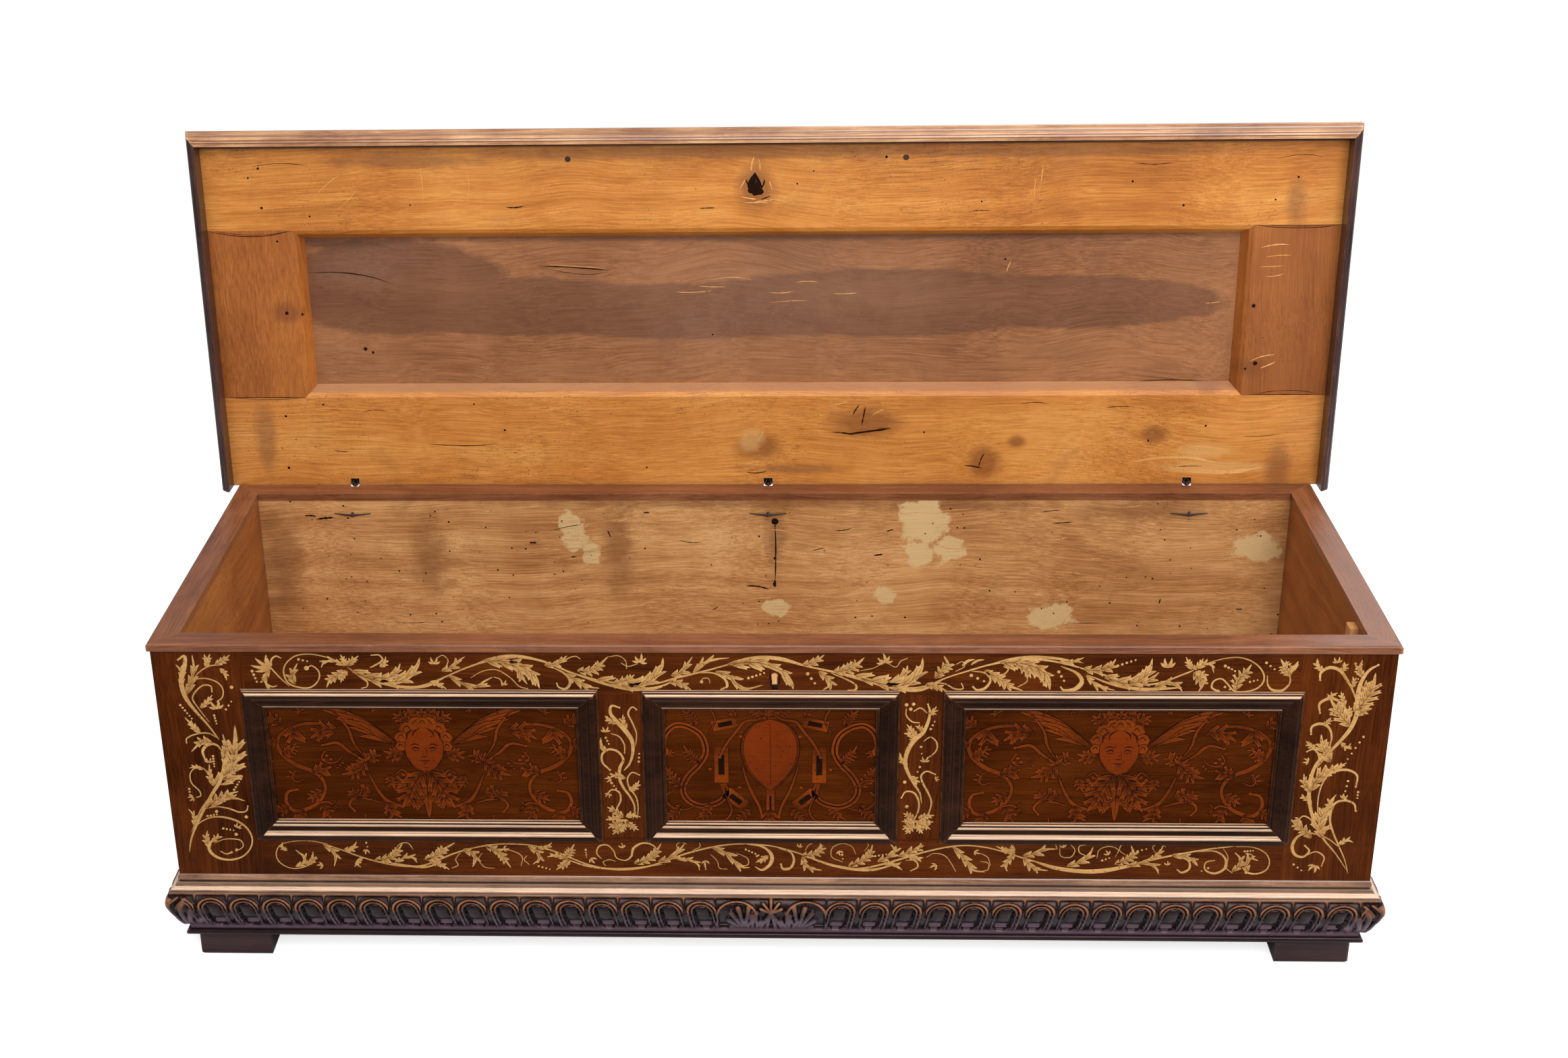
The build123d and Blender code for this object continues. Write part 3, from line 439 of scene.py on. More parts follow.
puttyMarks = ((226, 190, 134), 0.9, 2.6, 0.1,
              ((-322, 468, 22, 36), (-293, 427, 15, 17), (252, 488, 36, 40), (244, 424, 22, 22),
               (292, 432, 22, 22), (789, 437, 38, 26), (9, 328, 22, 17), (191, 350, 17, 15),
               (466, 311, 38, 22)))
smudges = ((112, 64, 30), 0.5, 2.2, 0.5,
           ((-247, 440, 20, 80), (9, 460, 14, 50), (-560, 420, 24, 60), (610, 505, 90, 16),
            (-800, 400, 26, 90), (300, 512, 130, 9), (-100, 516, 300, 7)))
skin = 0.0006                             # how far under a face its finish reaches, m
sideWood = dict(bareWood, patch=dict(shades=outsideShades, normal=(1.0, 0.0, 0.0), reach=sideX - skin,
                                     both=True))
backWood = dict(bareWood, marks=(smudges, puttyMarks),
                patch=dict(shades=((60, 38, 22), (116, 80, 52)), normal=(0.0, 1.0, 0.0), reach=backY - skin,
                           ends=sideX - skin))
floorWood = dict(bareWood, patch=backWood["patch"])
innerSideWood = dict(sideWood, shades=((114, 60, 20), (162, 94, 40), (196, 128, 64)))
# painted shade: the side mouldings take a darker copy of the lip's wood, for the shade their inner faces fall
# in
shadedLipWood = dict(lipWood, paintedLines=(), shades=((30, 14, 13), (60, 34, 32), (98, 66, 58)), rub=0.5,
                   rubTone=(150, 108, 88))
lidStileWood = dict(lidWood, paintedLines=(), shades=((124, 62, 16), (172, 96, 34), (200, 124, 52)),
                    marks=lidWood["marks"] + (((126, 66, 28), 0.5, 0.8, 0.5, ((808, 830, 78, 340),)),))
lidBackWood = dict(lidWood, shades=((168, 96, 34), (216, 136, 56), (238, 172, 92)),
                   patch=dict(lidOutside, heel=nearest("lid_back_rail", lidAlong) + skin))
pegWood = dict(shades=((34, 20, 12), (56, 34, 20), (80, 50, 30)), rough=0.6)
paleWood = dict(shades=((176, 110, 54), (208, 144, 84), (232, 182, 124)), rough=0.55)

for name, along, look, members in (
    ("inlaid_wood", "Z", frontWood,
     "front_left_stile front_right_stile front_left_muntin front_right_muntin"),
    ("inlaid_wood", "X", frontWood, "front_top_rail front_bottom_rail"),
    ("marquetry_wood", "X", panelWood, "left_panel centre_panel right_panel"),
    ("moulding_wood", "X", frameWood, "left_panel_frame centre_panel_frame right_panel_frame"),
    ("board_wood", "Y", innerSideWood, "left_side right_side"),
    ("board_wood", "X", backWood, "back_board"),
    ("floor_boards", "X", floorWood, "bottom_board_1 bottom_board_2 bottom_board_3"),
    ("rim_wood", "X", rimWood, "rim_front rim_back"),
    ("rim_wood", "Y", rimWood, "rim_left rim_right"),
    ("ogee_wood", "X", ogeeWood, "base_ogee_front"),
    ("ogee_wood", "Y", ogeeWood, "base_ogee_left base_ogee_right"),
    ("carved_wood", "X", carvedWood, "plinth_front foot_strip_front plinth_back foot_strip_back"),
    ("carved_wood", "Y", carvedWood, "plinth_left plinth_right foot_strip_left foot_strip_right"),
    ("foot_wood", "X", footWood, "foot_front_left foot_front_right foot_back_left foot_back_right"),
    ("lid_wood", "X", lidWood, "lid_front_rail"),
    ("lid_wood", "X", lidBackWood, "lid_back_rail"),
    ("lid_wood", "Z", lidStileWood, "lid_left_stile lid_right_stile"),
    ("lid_panel_wood", "X", lidPanelWood, "lid_panel"),
    ("lid_moulding_wood", "X", lipWood, "lid_moulding_front"),
    ("lid_moulding_wood", "Z", shadedLipWood, "lid_moulding_left lid_moulding_right"),
    ("peg_wood", "Y", pegWood, "lid_pegs"),
    ("pale_wood", "Z", paleWood, "keyhole_plug till_cleat"),
):
    material = woodMaterial(name + "_" + along.lower(), along, **look)
    for member in members.split():
        nodes[member].data.materials.clear()
        nodes[member].data.materials.append(material)

iron, tree, shader = newMaterial("forged_iron")
place = addNode(tree, "TexCoord").outputs["Object"]
rust = noise(place, 90.0, 5.0, 0.7)
pits = noise(place, 420.0, 3.0, 0.6)
join(mixColour(spread(rust, 0.45, 0.62), tone((44, 38, 36)), tone((70, 40, 26))), shader.inputs["Base Color"])
join(spread(rust, 0.4, 0.65, (0.42, 0.8)), shader.inputs["Roughness"])
join(spread(rust, 0.6, 0.42, (0.1, 0.5)), shader.inputs["Metallic"])
relief = addNode(tree, "Bump", {"Height": pits, "Strength": 0.5, "Distance": 0.0006})
join(relief.outputs[0], shader.inputs["Normal"])
for name in ("back_nails lock_case chest_hinge_pin_left chest_hinge_pin_middle chest_hinge_pin_right "
             "lid_hinge_pin_left lid_hinge_pin_middle lid_hinge_pin_right lid_catch_stub").split():
    nodes[name].data.materials.clear()
    nodes[name].data.materials.append(iron)
print("woods and iron assigned")

# carved band; heights and depths in mm
band = dict(
    bottom=50.5, top=125.0, pitch=48.3, firstRight=108.2, firstLeft=-99.6,
    hollow=12.6, archCentre=99.0, hollowFoot=83.5, lean=9.0, roundCorner=13.0,
    columnsPerUnit=34, rows=62, ledge=45.0, ledgeTop=66.0,
    eyeSlope=0.69,               # the pattern is drawn as a standing eye sees it
    mitreReach=90.0,             # how far from a corner the columns of the mesh lean to meet its mitre
    leafReach=46.0,
)
frontEdge, sideEdge, backEdge = frontY / mm, sideX / mm, backY / mm
halfPitch = band["pitch"] / 2
hidden = -99                     # lower than any ground
diagonal = 0.707                 # of a quarter turn


def arcThrough(start, through, end, count):
    (ax, ay), (bx, by), (cx, cy) = start, through, end
    d = 2 * (ax * (by - cy) + bx * (cy - ay) + cx * (ay - by))
    ux = ((ax**2 + ay**2) * (by - cy) + (bx**2 + by**2) * (cy - ay) + (cx**2 + cy**2) * (ay - by)) / d
    uy = ((ax**2 + ay**2) * (cx - bx) + (bx**2 + by**2) * (ax - cx) + (cx**2 + cy**2) * (bx - ax)) / d
    radius = math.hypot(ax - ux, ay - uy)
    first, last = math.atan2(ay - uy, ax - ux), math.atan2(cy - uy, cx - ux)
    if last - first > math.pi:
        last -= 2 * math.pi
    if first - last > math.pi:
        last += 2 * math.pi
    angles = first + (last - first) * np.arange(1, count + 1) / count
    return [(ux + radius * math.cos(angle), uy + radius * math.sin(angle)) for angle in angles]


def bandProfile():
    # down the swelling front of the timber: out from the wall, and height
    points = [(15.4, 74.5), (18.5, 71.5)]
    points += arcThrough((18.5, 71.5), (24.2, 59.75), (22.4, 48.0), 14)
    points += arcThrough((22.4, 48.0), (13.4, 27.0), (2.0, 11.0), 26)
    points = np.array(points + [(-1.5, 9.0), (-5.0, 7.0), (-5.0, 0.0)])
    run = np.concatenate(([0], np.cumsum(np.hypot(*np.diff(points, axis=0).T))))
    even = np.linspace(0, run[-1], band["rows"])
    return np.interp(even, run, points[:, 0]), np.interp(even, run, points[:, 1]) + band["bottom"]


def ridge(distance, centre, halfWidth):
    # a rounded bead: 1 on its crest, 0 from its edges on
    return np.clip(1 - ((distance - centre) / halfWidth) ** 2, 0, 1)


def lobe(x, z, start, end, startWidth, endWidth, height):
    # the height of one rounded leaf lobe, from its root to its tip
    sx, sz = start
    ex, ez = end
    length = math.hypot(ex - sx, ez - sz)
    t = np.clip(((x - sx) * (ex - sx) + (z - sz) * (ez - sz)) / length**2, 0, 1)
    away = np.hypot(x - sx - t * (ex - sx), z - sz - t * (ez - sz))
    width = startWidth + (endWidth - startWidth) * t
    domed = height * np.sqrt(np.clip(1 - (away / width) ** 2, 0, 1)) - 0.25 * height
    return np.where(away < width, domed, hidden)


def fan(depth, x, z, root, base, lobes, thin, height, under, way=1):
    # lobes that leave one root: heading in degrees, length and width at the tip
    for heading, length, width in lobes:
        turned = math.radians(heading)
        tip = (base[0] + way * math.cos(turned) * length, base[1] + math.sin(turned) * length)
        depth = np.maximum(depth, lobe(x, z, root, tip, thin, width, height) - under)
    return depth


def unitRelief(u, z):
    # one leaning arch with its egg, u from the middle of the unit
    centre, r = band["archCentre"], band["hollow"]
    u = u - band["lean"] * np.clip((124 - z) / 54, 0, 1.1) ** 1.5
    over, under = np.clip(z - centre, 0, None), np.clip(band["hollowFoot"] - z, 0, None)
    arch, inner = np.hypot(u, over), np.hypot(u, over + under)
    depth = np.where(arch < halfPitch, -4.4, -5.0)
    depth = np.maximum(depth, -4.4 + 4.4 * ridge(arch, r + 8.2, 3.0))     # outer arch
    depth = np.maximum(depth, -4.4 + 3.7 * ridge(arch, r + 2.6, 2.5))     # inner arch
    egg = -7.0 + 4.6 * np.sqrt(np.clip(1 - (u / 10.2) ** 2, 0, 1)) - 1.2 * np.clip((z - 105) / 7, 0, 1) ** 2
    scoop = np.clip((87.5 - z - 1.2 * np.cos(u / 5)) / 2.2, 0, 1)
    well = egg * (1 - scoop) - 8.6 * scoop
    wall = np.clip((inner - (r - 1.4)) / 1.4, 0, 1)
    depth = np.where(inner < r, well * (1 - wall) + np.minimum(-1.6, depth) * wall, depth)
    below = (np.abs(u) < r) & (inner >= r) & (z < centre)
    depth = np.where(below, -1.0 - 1.2 * np.clip((inner - r) / 6, 0, 1), depth)
    dart = np.clip(1 - np.abs(np.abs(u) - halfPitch) / np.clip((z - 112) * 0.36, 0.4, 4.2), 0, 1)
    dart = -5.0 + 4.4 * dart * np.clip((z - 112) / 4, 0, 1)
    return np.where(arch >= 24.0, np.maximum(depth, dart), depth)


def centreRelief(x, z):
    # two arches over large leaves, with a small palmette between them
    depth = np.full_like(x, -6.0)
    for way, middle in ((-1, -46.0), (1, 56.0)):
        arch = np.hypot((x - middle) * way, np.clip(z - 92, 0, None))
        depth = np.where(arch < 27, -7.5, depth)
        depth = np.maximum(depth, -5.5 + 5.5 * ridge(arch, 29.0, 3.4))
        depth = np.maximum(depth, np.where(arch < 26, -7.0 + 2.0 * ridge(arch, 23.4, 2.4), hidden))
        root = (middle - way * 12, 68.0)
        depth = fan(depth, x, z, root, root,
                    ((98, 44, 5.2), (76, 42, 5.6), (56, 37, 5.2), (36, 30, 4.6), (18, 22, 4.0),
                     (120, 36, 4.6)), 2.2, 5.2, 4.6, way)
    for middle in (-23.0, 31.0):
        root = (middle, 66.0)
        depth = fan(depth, x, z, root, root, ((124, 22, 4.0), (90, 28, 5.2), (56, 22, 4.0)), 2.4, 5.0, 3.9)
    palmette = (4.5, 99.0)
    depth = fan(depth, x, z, palmette, palmette,
                ((152, 17, 3.6), (122, 22, 3.6), (90, 25, 3.6), (58, 22, 3.6), (28, 17, 3.6)), 1.6, 4.6, 3.6)
    return fan(depth, x, z, (4.5, 100.0), (4.5, 104.0),
               ((258, 34, 4.6), (242, 38, 4.6), (282, 34, 4.6), (298, 38, 4.6)), 1.8, 4.4, 3.7)


def cornerRelief(away, z):
    # a leaf that folds round the corner; away is the distance from the mitre along the face
    depth = np.full_like(away, -5.5)
    for root, tip, thin, thick, high in (
        ((0, 60), (2, 116), 4, 7, 5.4), ((4, 66), (24, 108), 3, 6.0, 5.2), ((6, 66), (34, 96), 3, 5.0, 5.0),
        ((8, 66), (40, 82), 2.6, 4.4, 4.8), ((14, 100), (26, 119), 2.4, 4.6, 4.6),
        ((2, 104), (14, 121), 2.6, 4.4, 4.6), ((8, 62), (38, 71), 2.4, 3.6, 4.6),
    ):
        depth = np.maximum(depth, lobe(away, z, root, tip, thin, thick, high) - 4.4)
    return depth


def bandRelief(along, z, away, centres):
    # leaning arches each side of the middle motif, and the leaf at the mitre
    leftMost, rightMost = centres
    right = (along - rightMost + halfPitch) % band["pitch"] - halfPitch
    left = (along - leftMost + halfPitch) % band["pitch"] - halfPitch
    depth = np.where(along > rightMost - halfPitch, unitRelief(-right, z), unitRelief(left, z))
    if leftMost < rightMost:
        between = (along > leftMost + halfPitch) & (along < rightMost - halfPitch)
        depth = np.where(between, centreRelief(along, z), depth)
    arches = np.where(away > 22, depth, hidden)
    return np.where(away < band["leafReach"], np.maximum(cornerRelief(away, z), arches), depth)


def newPiece(name, places, faces):
    mesh = bpy.data.meshes.new(name)
    mesh.from_pydata((places * mm).tolist(), [], faces)
    piece = bpy.data.objects.new(name, mesh)
    bpy.context.scene.collection.objects.link(piece)
    return piece, mesh


def setNormals(mesh):
    # outward, with the large end faces cut into triangles
    shell = bmesh.new()
    shell.from_mesh(mesh)
    bmesh.ops.triangulate(shell, faces=[face for face in shell.faces if len(face.verts) > 4])
    bmesh.ops.recalc_face_normals(shell, faces=shell.faces)
    shell.to_mesh(mesh)
    shell.free()


def carveBand(name, node, start, end, centres, corners, toPlace):
    # one carved length: a closed timber whose swelling front is cut to the relief
    out, height = bandProfile()
    count = int((end - start) / band["pitch"] * band["columnsPerUnit"])
    base = np.linspace(start, end, count + 1)
    roundness = band["roundCorner"] * np.clip((height - 62) / 20, 0, 1) * np.clip((125 - height) / 8, 0, 1)
    cut = out - (1 - diagonal) * roundness
    backOut = np.array([-band["ledge"], -band["ledge"], 0.0, 0.0])
    backUp = np.array([band["bottom"], band["ledgeTop"], band["ledgeTop"], band["top"]])
    along = np.repeat(base[:, None], len(out), axis=1)
    backAlong = np.repeat(base[:, None], len(backOut), axis=1)
    away = np.full_like(along, 999.0)
    recess = np.zeros_like(along)
    for way, limit in corners:
        share = np.clip(1 - np.abs(limit - base) / band["mitreReach"], 0, 1)[:, None]
        along = along + way * share * cut
        backAlong = backAlong + way * share * backOut
        fromEdge = (limit + way * cut - along) * way
        away = np.minimum(away, fromEdge)
        over = np.clip(diagonal * roundness - fromEdge, 0, None)
        recess += roundness - np.sqrt(np.clip(roundness**2 - over**2, 0, None))
    z = np.repeat(height[None, :], len(base), axis=0)
    depth = bandRelief(along, z + band["eyeSlope"] * (20 - out)[None, :], away, centres)
    depth *= np.clip((z - 54.5) / 4.0, 0, 1) * np.clip((125.2 - z) / 2.0, 0, 1)
    fall, drop = np.gradient(out), np.gradient(height)
    length = np.hypot(fall, drop)
    outward = out - recess + depth * (-drop / length)
    upward = z + depth * (fall / length)
    rows = len(out)
    ring = rows + len(backOut)
    points = np.zeros((len(base), ring, 3))
    points[:, :rows] = np.stack(toPlace(along, outward, upward), axis=-1)
    backPlaces = toPlace(backAlong, np.tile(backOut, (len(base), 1)), np.tile(backUp, (len(base), 1)))
    points[:, rows:] = np.stack(backPlaces, axis=-1)
    faces = []
    for here in range(0, (len(base) - 1) * ring, ring):
        there = here + ring
        for row in range(ring):
            nextRow = (row + 1) % ring
            faces.append((here + row, here + nextRow, there + nextRow, there + row))
    faces.append(tuple(range(ring)))
    faces.append(tuple((len(base) - 1) * ring + row for row in range(ring)))
    piece, mesh = newPiece(name, points.reshape(-1, 3), faces)
    values = np.zeros((len(base), ring), np.float32)
    values[:, :rows] = depth
    mesh.attributes.new("crest", "FLOAT", "POINT").data.foreach_set("value", values.reshape(-1))
    setNormals(mesh)
    piece.select_set(True)
    bpy.context.view_layer.objects.active = piece
    bpy.ops.object.shade_smooth_by_angle(angle=math.radians(50))
    piece.select_set(False)
    mesh.materials.append(carvedTop)
    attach(piece, "chest")
    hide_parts(node)


# worn polish with a painted highlight for the tops, dust for the ground, and a painted floor sheen for the
# lower sides
reliefLightAndDustShades = ((160, 106, 72), (60, 48, 41), (104, 82, 94))
carvedTop = woodMaterial("carved_band_wood", "X", **dict(carvedWood, rub=0.0, reliefLightAndDust=reliefLightAndDustShades))
carveBand("carved_band_front", "plinth_front", -sideEdge, sideEdge, (band["firstLeft"], band["firstRight"]),
          ((-1, -sideEdge), (1, sideEdge)), lambda a, o, u: (a, frontEdge - o, u))
sideFirst = frontEdge + (sideEdge + band["firstLeft"] - band["pitch"] * 14)
for name, node, way in (("carved_band_left", "plinth_left", -1), ("carved_band_right", "plinth_right", 1)):
    carveBand(name, node, frontEdge, backEdge, (sideFirst, sideFirst), ((-1, frontEdge),),
              lambda a, o, u: (way * (sideEdge + o), a, u))
print("carved band cut")

# drawn ornament: leaves, stems and beads as thin sawn pieces let into a board; everything in mm
leafStep = 0.09             # from one leaf to the next over it
layerStep = 0.03            # from an outline to its wood, and from there to a cut line
hairStep = 0.002            # from one strip to the next, so that no two lie in one plane
sunk = 0.3                  # how far each piece goes into its board
wood, dark, fair = 0, 1, 2  # the materials of a drawing, by index


def startArt(name, line=0.3, centre=0.0, hole=None):
    return dict(name=name, line=line, centre=centre, way=1, base=0.0, laid=0, hole=hole, corners=[], faces=[],
                inks=[], shades=[])


def smooth(points, count):
    # a curve through the drawn points
    p = np.array(points, float)
    p = np.vstack((2 * p[0] - p[1], p, 2 * p[-1] - p[-2]))
    spans = len(p) - 3
    t = np.linspace(0, spans, count)
    i = np.minimum(t.astype(int), spans - 1)
    f = (t - i)[:, None]
    a, b, c, d = p[i], p[i + 1], p[i + 2], p[i + 3]
    return 0.5 * (2 * b + (c - a) * f + (2 * a - 5 * b + 4 * c - d) * f**2 + (3 * b - a - 3 * c + d) * f**3)


def unit(degrees):
    return np.array((math.cos(math.radians(degrees)), math.sin(math.radians(degrees))))


def directions(line):
    # along the line and square to it, point by point
    along = np.gradient(line, axis=0)
    along /= np.maximum(np.hypot(along[:, 0], along[:, 1]), 1e-6)[:, None]
    return along, np.column_stack((-along[:, 1], along[:, 0]))


def nextLeaf(art):
    # each new leaf lies a little over the one before it, and every fifth starts low again
    art["base"] = (art["base"] + leafStep) % (4.5 * leafStep)


def strip(art, line, halves, ink, shade=(0.35, 1.0), lift=None):
    # one flat piece along a line, a closed prism; lift 0 is an outline, 1 the wood on it, 2 a cut line
    if art["hole"] is not None:
        x0, x1, z0, z1 = art["hole"]
        inside = (line[:, 0] > x0) & (line[:, 0] < x1) & (line[:, 1] > z0) & (line[:, 1] < z1)
        if inside.any():
            return
    across = directions(line)[1] * np.asarray(halves)[:, None]
    if lift is None:
        lift = 0 if ink == dark else 1
    art["laid"] = (art["laid"] + 1) % 9
    level = art["base"] + lift * layerStep + art["laid"] * hairStep
    first = len(art["corners"])
    count = len(line)
    for left, right, value in zip(line + across, line - across, np.linspace(shade[0], shade[1], count)):
        for (x, z), high in ((left, level), (right, level), (right, -sunk), (left, -sunk)):
            art["corners"].append((art["centre"] + art["way"] * x, z, high))
            art["shades"].append(value)
    last = first + 4 * (count - 1)
    for here in range(first, last, 4):
        for side in range(4):
            after = (side + 1) % 4
            art["faces"].append((here + side, here + after, here + 4 + after, here + 4 + side))
    art["faces"] += [(first + 3, first + 2, first + 1, first), (last, last + 1, last + 2, last + 3)]
    art["inks"] += [ink] * (4 * (count - 1) + 2)


def drawn(art, line, halves, shade=(0.35, 1.0), ink=wood):
    # a piece with its dark outline under it
    if art["line"]:
        strip(art, line, np.asarray(halves) + art["line"], dark, shade)
    strip(art, line, halves, ink, shade)


def stem(art, points, widths):
    count = max(2 + int(1.6 * len(points)) * 2, 8)
    halves = np.interp(np.linspace(0, len(widths) - 1, count), range(len(widths)), np.array(widths) / 2)
    halves[[0, -1]] *= 0.4
    drawn(art, smooth(points, count), halves, (0.5, 0.8))


def leafAt(art, root, heading, length, half, bend=0.0):
    # a small curved leaf; heading in degrees
    ahead = unit(heading)
    aside = np.array((-ahead[1], ahead[0]))
    root = np.array(root, float)
    line = smooth([root, root + ahead * length * 0.5 + aside * bend * length, root + ahead * length], 6)
    drawn(art, line, half * np.array((0.4, 0.85, 1.0, 0.86, 0.52, 0.07)), (0.3, 1.0))


def leafTo(art, root, tip, half, bend=0.0):
    reach = np.subtract(tip, root)
    leafAt(art, root, math.degrees(math.atan2(reach[1], reach[0])), math.hypot(*reach), half, bend)


def acanthus(art, spine, width, lobes=5, sides=(1, 1)):
    # a full blade along a bent rib; its pointed lobes lean forward and turn out at their tips
    nextLeaf(art)
    count = 22
    line = smooth(spine, count)
    along, out = directions(line)
    run = float(np.hypot(*np.diff(line, axis=0).T).sum())
    lobes = max(2, min(lobes, 3 if width < 13 else 5, round(run / (0.5 * width))))
    t = np.linspace(0, 1, count)
    swell = np.sin(np.pi * t**0.75) ** 0.7
    step = 0.8 * run / lobes
    ribs = []
    for i in range(lobes):
        at = 0.03 + 0.72 * i / lobes
        for side, share in ((1, sides[0]), (-1, sides[1])):
            if not share:
                continue
            spot = min(count - 3, int((at + (0.04 if side < 0 else 0.0)) * (count - 1)))
            reach = 0.5 * width * share * max(float(np.interp(at + 0.5 / lobes, t, swell)), 0.35)
            ahead, aside = along[spot] * step, out[spot] * reach * side
            root = line[spot]
            rib = smooth([root, root + ahead * 0.45 + aside * 0.42, root + ahead * 0.86 + aside * 0.86,
                          root + ahead * 1.0 + aside * 1.3], 8)
            half = min(0.27 * step, 0.34 * reach + 0.5)
            drawn(art, rib, half * np.array((0.5, 0.9, 1.0, 0.96, 0.82, 0.6, 0.34, 0.05)), (0.2, 1.0))
            ribs.append(rib)
            if reach > 8:
                foot = rib[4]
                tooth = smooth([foot, foot + ahead * 0.3 + aside * 0.12,
                                foot + ahead * 0.52 + aside * 0.3], 6)
                drawn(art, tooth, half * 0.55 * np.array((0.8, 1.0, 0.9, 0.66, 0.4, 0.06)), (0.6, 1.0))
    blade = 0.5 * width * 0.3 * swell * min(sum(sides) / 2 + 0.3, 1.0) + 0.3
    blade[0], blade[-1] = 0.3, 0.06
    drawn(art, line, blade, (0.25, 0.9))
    if width > 9:
        cut = width * 0.009 + 0.12
        strip(art, line[1:-2], np.linspace(cut * 1.5, cut * 0.3, count - 3), dark, lift=2)
        for rib in ribs:
            strip(art, rib[0:6], cut * np.array((0.7, 1.0, 1.0, 0.8, 0.5, 0.1)), dark, lift=2)


def disc(art, centre, radius, ink=wood):
    line = np.array(centre, float) + np.column_stack((np.linspace(-1, 1, 7) * radius, np.zeros(7)))
    drawn(art, line, radius * np.array((0.1, 0.72, 0.93, 1.0, 0.93, 0.72, 0.1)), (0.7, 0.9), ink)


def beads(art, start, end, count, radius=1.6):
    for share in np.linspace(0, 1, count):
        disc(art, start + (end - start) * share, radius * (1.15 - 0.35 * share))


def sprig(art, centre, heading, size, petals, spreadOut):
    # a small flower: petals spread about a heading in degrees
    nextLeaf(art)
    for i in range(petals):
        turned = heading + spreadOut * ((i + 0.5) / petals - 0.5)
        reach = size * (1.0 if i in (petals // 2, (petals - 1) // 2) else 0.82)
        leafAt(art, centre, turned, reach, size * 0.15, 0.12 * (1 if turned > heading else -1))
    disc(art, centre, size * 0.13)


def curl(art, points, widths, knob=None):
    # a stem that ends in a small round knob
    nextLeaf(art)
    stem(art, points, widths)
    disc(art, points[-1], knob or widths[-1] * 0.75)


def drawStrokes(art, drawing, swell=1.0):
    # a stroke is its kind, its sizes, a slash and x and z of its points; some curls end with a slash and the
    # radius of the knob; all in mm and degrees
    for kind, body in re.findall("([a-z]+)([^a-z]+)", drawing):
        sizes, places, *knob = ([float(number) for number in field.split()] for field in body.split("/"))
        points = np.reshape(places, (-1, 2))
        if kind == "stem":              # widths along it
            stem(art, points, sizes)
        elif kind == "curl":            # widths along it
            curl(art, points, sizes, *(knob[0] if knob else ()))
        elif kind == "leaf":            # width, lobes a side, and shares of the two sides
            acanthus(art, points, sizes[0] * swell, int(sizes[1]), sizes[2:] or (1, 1))
        elif kind == "blade":           # half width, bend
            leafTo(art, *points, *sizes)
        elif kind == "petal":           # heading, length, half width, bend
            leafAt(art, points[0], *sizes)
        elif kind == "sprig":           # heading, size, petals, spread
            sprig(art, points[0], sizes[0], sizes[1], int(sizes[2]), sizes[3])
        elif kind == "beads":           # count, radius
            beads(art, *points, int(sizes[0]), *sizes[1:])
        else:                           # dots: radius
            for point in points:
                disc(art, point, sizes[0])


def hangArt(art, toBoard, materials, body):
    x, z, high = np.array(art["corners"]).T
    proud = np.where(high < 0, -sunk, 0.04 + high)
    piece, mesh = newPiece(art["name"], np.column_stack(toBoard(x, z, proud)), art["faces"])
    shades = np.array(art["shades"], np.float32)
    mesh.attributes.new("tint", "FLOAT", "POINT").data.foreach_set("value", shades)
    for material in materials:
        mesh.materials.append(material)
    mesh.polygons.foreach_set("material_index", art["inks"])
    setNormals(mesh)
    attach(piece, body)
    print(art["name"], len(mesh.polygons), "faces, stands", round(float(proud.max()), 2), "mm proud")


def inlayMaterial(name, deep, light, ground, worn, speck, rough, specular):
    # sawn veneer: lighter to the tips, speckled, worn through to the ground here and there
    material, tree, shader = newMaterial(name)
    place = addNode(tree, "TexCoord").outputs["Object"]
    tint = addNode(tree, "Attribute", attribute_name="tint").outputs["Fac"]
    cloud = noise(place, 24.0, 4.0, 0.6)
    drawnOut = addNode(tree, "Mapping", {"Vector": place, "Scale": (0.06, 1, 1)}).outputs[0]
    streaks = noise(drawnOut, 330.0, 3.0, 0.6)
    share = figure("MULTIPLY_ADD", tint, 0.5, times(cloud, 0.4))
    share = figure("MULTIPLY_ADD", streaks, 0.4, share)
    colour = mixColour(spread(share, 0.42, 0.92), tone(deep), tone(light))
    grit = noise(place, 620.0, 3.0, 0.7)
    colour = mixColour(times(spread(grit, 0.52, 0.66), speck), colour, tone(ground))
    rubbed = noise(place, 85.0, 5.0, 0.72)
    colour = mixColour(times(spread(rubbed, 0.58, 0.64), worn), colour, tone(ground))
    cells = addNode(tree, "TexVoronoi", {"Vector": place, "Scale": 120.0})
    holes = figure("LESS_THAN", cells.outputs["Distance"], 0.13)
    colour = mixColour(times(holes, 0.8), colour, tone((24, 11, 5)))
    join(colour, shader.inputs["Base Color"])
    join(spread(grit, 0.3, 0.7, (rough - 0.08, rough + 0.1)), shader.inputs["Roughness"])
    shader.inputs["Specular IOR Level"].default_value = specular
    return material


inlay = (inlayMaterial("pale_inlay", (146, 98, 48), (212, 166, 104), (98, 58, 26), 0.3, 0.3, 0.45, 0.05),
         inlayMaterial("engraved_line", (70, 36, 14), (84, 44, 18), (48, 22, 9), 0.6, 0.5, 0.5, 0.05))
marquetry = (inlayMaterial("amber_marquetry", (46, 16, 2), (130, 55, 7), (66, 22, 2), 0.4, 0.3, 0.42, 0.04),
             inlayMaterial("marquetry_line", (20, 7, 2), (28, 11, 3), (62, 25, 5), 0.3, 0.2, 0.5, 0.05),
             inlayMaterial("face_marquetry", (72, 24, 3), (118, 45, 5), (90, 31, 3), 0.4, 0.4, 0.42, 0.04))


def onFront(faceY):
    return lambda x, z, proud: (x, faceY / mm - proud, z)


